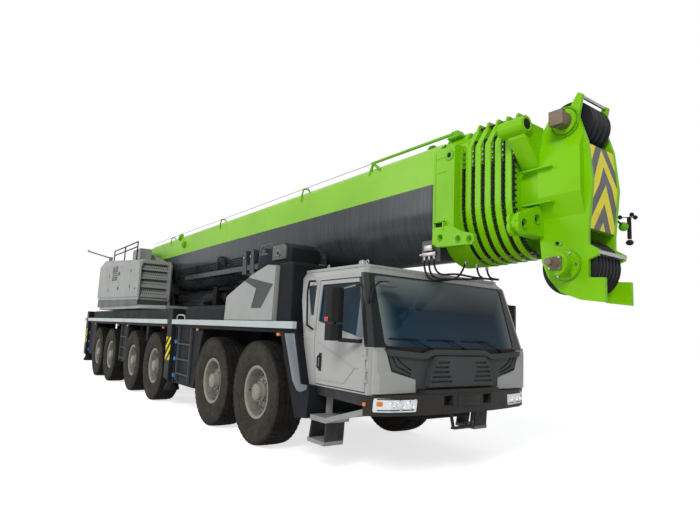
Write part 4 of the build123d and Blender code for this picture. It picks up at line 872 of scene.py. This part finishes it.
def side_parts():
    parts = Shape()
    for _ in parts.sides():
        for x in MARKERS:
            parts.box("orange", (x - 0.035, x + 0.035), (1.425, 1.456), (1.562, 1.602), 0.006)
            parts.box("black", (x - 0.045, x + 0.045), (1.395, 1.427), (1.555, 1.607), 0.004)
    for x, heights in CLAMPS:
        if x > -4:
            parts.along("frame", "z", x, -1.418, 0.52, 1.6, 0.02, 12)
        for z in heights:
            parts.box("blue", (x - 0.05, x + 0.05), (-1.4, -1.446), (z - 0.035, z + 0.035), 0.006)
    for _ in parts.sides():
        parts.prism("silver", "y", GUARD_STRIP, 1.484, 1.49, 0.002)
    handle = ((-3.8, 1.765), (-3.78, 1.83), (-3.7, 1.855), (-3.42, 1.85), (-3.34, 1.82), (-3.32, 1.765))
    parts.bent("rail", [(x, -1.42, z) for x, z in handle], 0.014, 10)
    parts.piece("side_parts", "chassis")


# ---- boom details
LINE = (0.505, 4.055)  # Y and Z of the lifeline


def boom_top_parts():
    parts = Shape()
    for _ in parts.sides():
        for x in (-7.56, -4.1, -0.56):
            parts.bent("lug", (
                (x - 0.05, 0.5, 3.84), (x - 0.03, 0.515, 3.95), (x, *LINE), (x + 0.04, 0.44, 4.06),
                (x + 0.06, 0.4, 3.995)), 0.014, 10)
        parts.along("steel", "x", *LINE, -9.3, 1.3, 0.0055, 8)
        for x, z in ((1.25, 3.9), (1.5, 3.92)):
            parts.rod("lug", (x, 0.498, z), (1.33, 0.5, 4.055), 0.02, 10)
        parts.rod("lug", (1.3, 0.5, 4.06), (2.8, 0.45, 4.08), 0.02, 14)
        parts.prism("lug", "y", ((2.7, 4.03), (2.93, 4.03), (2.87, 4.11), (2.78, 4.11)), 0.36, 0.46, 0.006)
        parts.prism("lug", "y", ((2.28, 3.99), (2.5, 3.99), (2.42, 4.06), (2.34, 4.06)), 0.36, 0.4, 0.004)
    parts.rod("lug", (-6.83, -0.47, 3.975), (-6.83, -0.53, 4), 0.095, 28)
    parts.rod("lug", (-6.83, -0.53, 4), (-6.83, -0.545, 4.006), 0.045, 20)
    parts.along("lug", "y", -6.45, 3.745, -0.49, -0.57, 0.09, 28)
    parts.along("lug", "y", -6.45, 3.745, -0.57, -0.585, 0.04, 20)
    parts.piece("lifeline", "boom")


def boom_side_parts():
    parts = Shape()
    for _ in parts.sides():
        for i in range(5):
            y, z = 0.512 + 0.004 * i, 2.875 + 0.046 * i
            parts.rod("deck", (-8.95, y, z + 0.03), (-1.3, y, z), 0.014, 8)
        for x in (-8.2, -6.8, -5.45, -4.05, -2.75, -1.6):
            parts.box("frame", (x - 0.03, x + 0.03), (0.47, 0.545), (2.85, 3.11), 0.006)
        plate = ((-4.07, 3.11), (-3.6, 2.94), (-3.64, 3.1), (-3.86, 3.19), (-4.02, 3.19))
        parts.prism("frame", "y", plate, 0.49, 0.56, 0.006)
        for x in (-2.5, -2.2):
            parts.along("steel", "y", x, 3.02, 0.621, 0.634, 0.022, 12)
    parts.piece("boom_pipes", "boom")


BOX_SIDE = (
    (-0.92, 2.62), (0.2, 2.62), (0.2, 2.88), (0.02, 2.97), (-0.42, 2.97), (-0.62, 2.85), (-0.92, 2.85))
BOX_COVER = ((-0.36, 2.72), (0.06, 2.72), (0.06, 2.92), (-0.02, 2.955), (-0.36, 2.955))


def machine_box():
    """Dark box on brackets beside the boom, above the deck housings."""
    parts = Shape()
    for _ in parts.sides():
        parts.prism("deck", "y", BOX_SIDE, 0.6, 1.1, 0.01)
        parts.prism("cover", "y", BOX_COVER, 1.095, 1.135, 0.012)
        parts.along("steel", "y", -0.14, 2.82, 1.13, 1.155, 0.05, 28)
        parts.ball("black", (-0.14, 1.155, 2.82), 0.04, (1, 0.3, 1), 20)
        parts.bent("cover", ((-0.92, 1.06, 2.72), (-0.9, 1.08, 2.92), (-0.8, 1.08, 3),
                                 (-0.52, 1.08, 3.02), (-0.45, 1.08, 2.97)), 0.014, 10)
        parts.bent("cover", ((-0.88, 0.8, 2.82), (-0.86, 0.8, 2.96), (-0.78, 0.8, 3.02),
                                 (-0.5, 0.8, 3.02), (-0.44, 0.8, 2.96)), 0.014, 10)
        parts.box("cover", (-0.9, -0.66), (0.64, 1.06), (2.845, 2.885), 0.006)
        for x in (-0.8, 0.05):
            parts.box("frame", (x - 0.04, x + 0.04), (0.48, 0.62), (2.7, 2.84), 0.004)
    parts.piece("machine_box", "boom")


RINGS = 5
COLLAR_FRONT = 2.994
RING_PITCH = 0.132  # length of a ring and the gap in front of it
RING_STEP = 0.006  # each ring is this much smaller all round than the one behind it
COLLAR_DROP = 0.08  # collar and rings hang this far below the base section
RING_OUT = 0.012
SIDE_Y, SIDE_R, BELLY_R = 0.5, 0.8, 0.5


def rim(number, inward, angle):
    """Y and Z on a ring's edge: negative angles run up its side, the others round its belly."""
    inset = RING_STEP * number - RING_OUT + inward
    turn = radians(35)
    low = SIDE_R - (SIDE_R - BELLY_R) / cos(turn)
    top = 2.59 + (SIDE_R - low) * sin(turn) + low - COLLAR_DROP
    if angle < 0:
        return SIDE_Y - inset, top - angle
    if angle < turn:
        return SIDE_Y - SIDE_R + (SIDE_R - inset) * cos(angle), top - (SIDE_R - inset) * sin(angle)
    z = top - (SIDE_R - low) * sin(turn)
    return (low - inset) * cos(angle), z - (low - inset) * sin(angle)


def ring_parts(number):
    """Pads, studs and bolts on the front of the collar or of one ring."""
    parts = Shape()
    front = COLLAR_FRONT + number * RING_PITCH
    step = RING_STEP * number
    links = [(-0.42 + 0.062 * i, 0.045) for i in range(7)]
    links += [(radians(1 + 5.3 * i), radians(3.3)) for i in range(16)]
    for _ in parts.sides():
        y = 0.506 - step
        for i in range(4):
            z = 3.77 - step - 0.062 * i
            parts.along("steel", "x", y - 0.02, z, front, front + 0.026, 0.016, 10)
            parts.along("steel", "x", y - 0.058, z, front, front + 0.026, 0.013, 10)
        parts.box("black", (front, front + 0.04), (y - 0.11, y - 0.045), (3.795 - step, 3.9 - step), 0.004)
        for at, reach in links:
            start, end = rim(number, 0.02, at), rim(number, 0.02, at + reach)
            parts.rod("black", (front + 0.014, *start), (front + 0.014, *end), 0.014, 8)
            parts.along("black", "x", *start, front, front + 0.047, 0.012, 8)
        for inward, at in ((0.014, 66), (0.014, 76), (0.03, 71)):
            bolt = rim(number, inward, radians(at))
            parts.along("brown", "x", *bolt, front, front + 0.05, 0.018, 10)
        if number:
            roller = (0.29, 4.075 - step)
            parts.along("black", "x", *roller, front - 0.072, front + 0.045, 0.034, 14)
            parts.along("steel", "x", *roller, front - 0.074, front + 0.049, 0.012, 8)
    parts.piece(f"ring_pads_{number}", f"section_{number}" if number else "boom")


def collar_parts():
    """Bores, recess and stiffeners on the collar's side boxes; the bore's hole and the recess are black
    pieces of painted shade.
    """
    parts = Shape()
    out = 0.6185
    for _ in parts.sides():
        parts.along("lug", "y", 2.905, 3.745, out, 0.632, 0.06, 24)
        # black disc in the bore: painted shade
        parts.along("hose", "y", 2.905, 3.745, out, 0.6335, 0.03, 20)
        for low, high in ((3.735, 3.743), (3.56, 3.566)):
            parts.box("lug", (2.7, 2.86), (out, 0.623), (low, high))
        parts.box("lug", (2.685, 2.69), (out, 0.624), (2.92, 3.82))
        # black sheet in the recess: painted shade
        parts.prism("hose", "y", ((2.7, 2.905), (2.85, 2.905), (2.85, 2.96), (2.7, 2.96)), out, 0.6205)
        parts.box("green", (2.69, 2.86), (0.622, 0.665), (2.955, 2.968), 0.003)
        parts.box("green", (2.845, 2.86), (0.622, 0.665), (2.86, 2.968), 0.003)
        for x, z in ((2.81, 2.775), (3.08, 2.73), (3.24, 2.712)):
            parts.ring("lug", (x, 0.656, z), "y", 0.038, 0.006, 24)
    parts.piece("collar_fittings", "boom")


# ---- hoses at the collar
HOSE = 0.024  # diameter
HOSES = (  # length, then the points of the run
    (1.095, ((2.43, -0.325, 2.725), (2.43, -0.52, 2.67), (2.43, -0.53, 2.45), (2.5, -0.5, 2.31),
             (2.68, -0.42, 2.3), (2.8, -0.28, 2.35), (2.8, -0.2, 2.54))),
    (1.444, ((2.51, -0.325, 2.725), (2.51, -0.52, 2.68), (2.51, -0.53, 2.46), (2.56, -0.5, 2.33),
             (2.78, -0.47, 2.31), (3.02, -0.42, 2.3), (3.08, -0.2, 2.33), (2.92, -0.12, 2.38),
             (2.9, -0.12, 2.51))),
    (1.737, ((2.59, -0.325, 2.725), (2.59, -0.52, 2.68), (2.59, -0.53, 2.48), (2.66, -0.5, 2.36),
             (2.9, -0.48, 2.37), (3.14, -0.44, 2.31), (3.28, -0.24, 2.3), (3.14, 0, 2.33),
             (2.95, 0.02, 2.36), (2.94, 0.02, 2.493))),
)


def hose_block():
    parts = Shape()
    parts.box("cover", (2.36, 2.66), (-0.485, -0.5), (2.53, 2.8), 0.004)
    parts.box("steel", (2.44, 2.58), (-0.5, -0.555), (2.66, 2.735), 0.008)
    parts.box("steel", (2.4, 2.62), (-0.5, -0.54), (2.6, 2.65), 0.008)
    parts.along("steel", "x", -0.525, 2.625, 2.36, 2.42, 0.018, 12)
    for x in (2.43, 2.51, 2.59):
        parts.along("steel", "z", x, -0.52, 2.555, 2.605, 0.017, 12)
    for x, y, z in ((2.8, -0.2, 2.545), (2.9, -0.12, 2.514), (2.94, 0.02, 2.498)):
        parts.along("steel", "z", x, y, z - 0.04, z + 0.006, 0.019, 12)
    parts.piece("hose_block", "boom")


def boom_hose(name, points):
    data = bpy.data.curves.new(name, "CURVE")
    data.dimensions = "3D"
    spline = data.splines.new("NURBS")
    spline.points.add(len(points) - 1)
    for point, (x, y, z) in zip(spline.points, points):
        point.co = (x + AXLE_1, y, z, 1)
    spline.order_u = 3
    spline.use_endpoint_u = True
    spline.resolution_u = 10
    data.bevel_depth = HOSE / 2
    data.bevel_resolution = 3
    data.use_fill_caps = True
    data.materials.append(MAT["hose"].material)
    hose = linked(name, data)
    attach(hose, "boom")
    x, y, z = points[0]


# ---- head details
JIB_PLATE = (
    (0.21, 2.703), (0.557, 2.703), (0.64, 2.716), (0.685, 2.752), (0.691, 2.8), (0.685, 2.848),
    (0.652, 2.888), (0.608, 2.896), (0.42, 2.986), (0.33, 3.026), (0.21, 3.026),
)
WEB = ((0.6, 3.742), (0.56, 3.722), (0.255, 3.562), (0.255, 3.4), (0.33, 3.4), (0.6, 3.7))


def head_parts():
    parts = Shape()
    x0, z0 = LOW_PIN
    for _ in parts.sides():
        parts.box("brown", (4.075, 4.205), (0.448, 0.475), (2.325, 2.455), 0.012)
        parts.along("brown", "y", x0, z0, 0.47, 0.56, 0.058, 20, 0.048)
        parts.along("brown", "y", x0, z0, 0.56, 0.6, 0.036, 16)
        for x, z in ((-0.05, -0.05), (0.05, -0.05), (-0.05, 0.05), (0.05, 0.05)):
            parts.along("steel", "y", x0 + x, z0 + z, 0.47, 0.488, 0.011, 6)
        parts.prism("green", "x", JIB_PLATE, 3.799, 3.861, 0.003)
        parts.prism("green", "x", WEB, 3.7, 3.9, 0.003)
        # black disc inside the ring: painted shade in a bore
        parts.along("hose", "x", 0.59, 3.825, 3.918, 3.923, 0.054, 28)
        parts.ring("green", (3.921, 0.59, 3.825), "x", 0.068, 0.008, 32)
        for y, z in ((0.615, 2.79), (0.395, 2.87)):
            parts.ring("lug", (3.903, y, z), "x", 0.052, 0.007, 24)
            # black disc inside the ring: painted shade in the bracket's bore
            parts.along("hose", "x", y, z, 3.858, 3.864, 0.045, 20)
        for z in (3.028, 3.395):
            parts.box("green", (3.7, 4.06), (0.262, 0.4), (z, z + 0.014), 0.003)
        for x, z in (TOP_PIN, LOW_PIN):
            parts.ring("lug", (x, 0.283, z), "y", 0.15, 0.008, 40)
        for x, z in circle(6, 0.128):
            parts.along("steel", "y", x0 + x, z0 + z, 0.3, 0.318, 0.012, 6)
        parts.along("black", "y", 4.05, 2.62, 0.27, 0.29, 0.016, 12)
        parts.along("steel", "y", 4.09, 2.61, 0.27, 0.284, 0.012, 12)
    # wind gauge on the left of the head
    x, y = 4.28, 0.74
    parts.bent("black", ((4.24, 0.27, 2.93), (4.27, 0.5, 2.94), (4.27, 0.6, 2.92)), 0.012, 10)
    parts.ball("lug", (4.27, 0.63, 2.9), 0.05, (1, 1, 1), 20)
    parts.along("black", "z", x, y, 3.02, 2.78, 0.022, 14)
    parts.along("black", "y", x, 2.93, 0.68, y, 0.01, 8)
    for turn in (0.3, 2.4, 4.5):
        cup = (x + 0.09 * sin(turn), y + 0.09 * cos(turn), 3.03)
        parts.rod("black", (x, y, 3.02), cup, 0.005, 6)
        parts.ball("black", cup, 0.025)
    parts.ball("black", (x, y, 2.74), 0.04, (1, 1, 0.8), 16)
    parts.piece("head_fittings", "tip")


def head_sides():
    """Faceted box on each side plate of the head."""
    box = Shape()
    for _ in box.sides():
        box.prism("green", "x", ((0.262, 3.72), (0.345, 3.56), (0.345, 3.1), (0.262, 2.86)), 3.875, 4.34)
    box.piece("head_sides", "tip", angle=8)


# ---- luffing cylinder's head, housing trim
def cylinder_parts():
    parts = Shape()
    for i in range(10):
        z = 2.15 + 0.042 * i
        parts.box("hose", (-4.7, -4.47), (-0.345, -0.215), (z, z + 0.026), 0.006)
    parts.box("black", (-4.66, -4.5), (-0.33, -0.2), (2.14, 2.56), 0.004)
    for i in range(12):
        parts.ring("hose", (-4.46 + 0.055 * i, -0.255, 2.505), "x", 0.038, 0.014, 16, 6)
    parts.along("hose", "x", -0.255, 2.505, -4.48, -3.8, 0.04, 14)
    parts.along("black", "x", 0, 2.365, -4.24, -4.2, 0.19, 40)
    for y, z in circle(12, 0.175):
        parts.along("steel", "x", y, 2.365 + z, -4.21, -4.185, 0.013, 6)
    parts.piece("cylinder_head", "luff_barrel")


def housing_parts():
    parts = Shape()
    for y, top in ((-1.425, -1.375), (-0.665, -0.665)):
        parts.bent("upper", (
            (-6.945, y, 2.24), (-6.915, y, 2.3), (-6.915, y, 3.1), (-6.95, top, 3.24)), 0.022, 10)
        for z in (2.42, 2.8, 3.05):
            parts.box("upper", (-6.952, -6.905), (y - 0.03, y + 0.03), (z - 0.025, z + 0.025), 0.004)
    for x in (-10.36, -9.15, -9.05, -7.8):
        for z in (2.62, 3.05):
            parts.box("black", (x - 0.02, x + 0.02), (-1.448, -1.456), (z - 0.05, z + 0.05), 0.003)
    parts.box("black", (-7.3, -7.22), (-1.448, -1.456), (2.53, 2.57), 0.003)
    # thin black sheets in the louvre slots: painted shade
    for i in range(9):
        z = 2.87 + 0.05 * i
        for x in (-9.93, -9.58):
            parts.box("black", (x, x + 0.27), (-1.4485, -1.453), (z, z + 0.016))
    parts.piece("housing_trim", "superstructure")


cab_trim()
kerb_mirror()
headlamp_parts()
for side in SIDES:
    door_parts(side)
side_parts()
boom_top_parts()
boom_side_parts()
machine_box()
for number in range(RINGS + 1):
    ring_parts(number)
collar_parts()
hose_block()
for number, (length, points) in enumerate(HOSES, 1):
    boom_hose(f"boom_hose_{number}", points)
head_parts()
head_sides()
cylinder_parts()
housing_parts()


# ---- floor, world
FLOOR_GLOW = 0.72
WORLD_LEVEL = 0.34
FLOOR_REACH = 300


def white_rays(tree):
    """1 for rays straight from the camera, or by way of a mirror or glass."""
    path = tree.nodes.new("ShaderNodeLightPath").outputs
    camera, glossy, through = (
        Value(tree, path[name]) for name in ("Is Camera Ray", "Is Glossy Ray", "Is Transmission Ray"))
    return camera | glossy | through


def emptied(owner):
    owner.use_nodes = True
    owner.node_tree.nodes.clear()
    return owner.node_tree


def stage_floor():
    mesh = bpy.data.meshes.new("floor")
    corners = [(x * FLOOR_REACH, y * FLOOR_REACH, 0) for x, y in ((-1, -1), (1, -1), (1, 1), (-1, 1))]
    mesh.from_pydata(corners, [], [(0, 1, 2, 3)])
    floor = linked("floor", mesh)
    material = bpy.data.materials.new("floor")
    tree = emptied(material)
    matt = wire(tree, "ShaderNodeBsdfDiffuse", ((0.86, 0.86, 0.86),))
    glow = wire(tree, "ShaderNodeEmission", {"Strength": white_rays(tree) * FLOOR_GLOW})
    wire(tree, "ShaderNodeOutputMaterial", (wire(tree, "ShaderNodeAddShader", (matt, glow)),))
    mesh.materials.append(material)


def studio_world():
    world = bpy.data.worlds.new("studio")
    bpy.context.scene.world = world
    tree = emptied(world)
    lit = wire(tree, "ShaderNodeBackground", ((0.97, 0.98, 1), WORLD_LEVEL))
    white = wire(tree, "ShaderNodeBackground", ((1, 1, 1),))
    wire(tree, "ShaderNodeOutputWorld", (wire(tree, "ShaderNodeMixShader", (white_rays(tree), lit, white)),))


def lamp(name, place, target, size, power):
    data = bpy.data.lights.new(name, "AREA")
    data.shape = "DISK"
    data.size = size
    data.energy = power
    obj = linked(name, data)
    obj.location = place
    obj.rotation_euler = (Vector(target) - Vector(place)).to_track_quat("-Z", "Y").to_euler()


# ---- camera
CAMERA_AT = (11.343, -4.976, 1.651)
CAMERA_YAW, CAMERA_PITCH, CAMERA_ROLL = (radians(turn) for turn in (143.67, 7.63, 2.43))
CAMERA_LENS = 26.73


def place_camera():
    data = bpy.data.cameras.new("camera")
    data.lens = CAMERA_LENS
    data.sensor_width = 36
    data.clip_end = 1000
    camera = linked("camera", data)
    camera.matrix_world = (
        Matrix.Translation(CAMERA_AT) @ Matrix.Rotation(CAMERA_YAW - pi / 2, 4, "Z")
        @ Matrix.Rotation(CAMERA_PITCH + pi / 2, 4, "X") @ Matrix.Rotation(CAMERA_ROLL, 4, "Z"))
    bpy.context.scene.camera = camera


bpy.context.scene.view_settings.view_transform = "Standard"
stage_floor()
studio_world()
lamp("key", (16, -14, 13), (1, 0, 2), 7, 1900)
lamp("fill", (-8, -18, 9), (-3, 0, 1.5), 9, 1000)
place_camera()
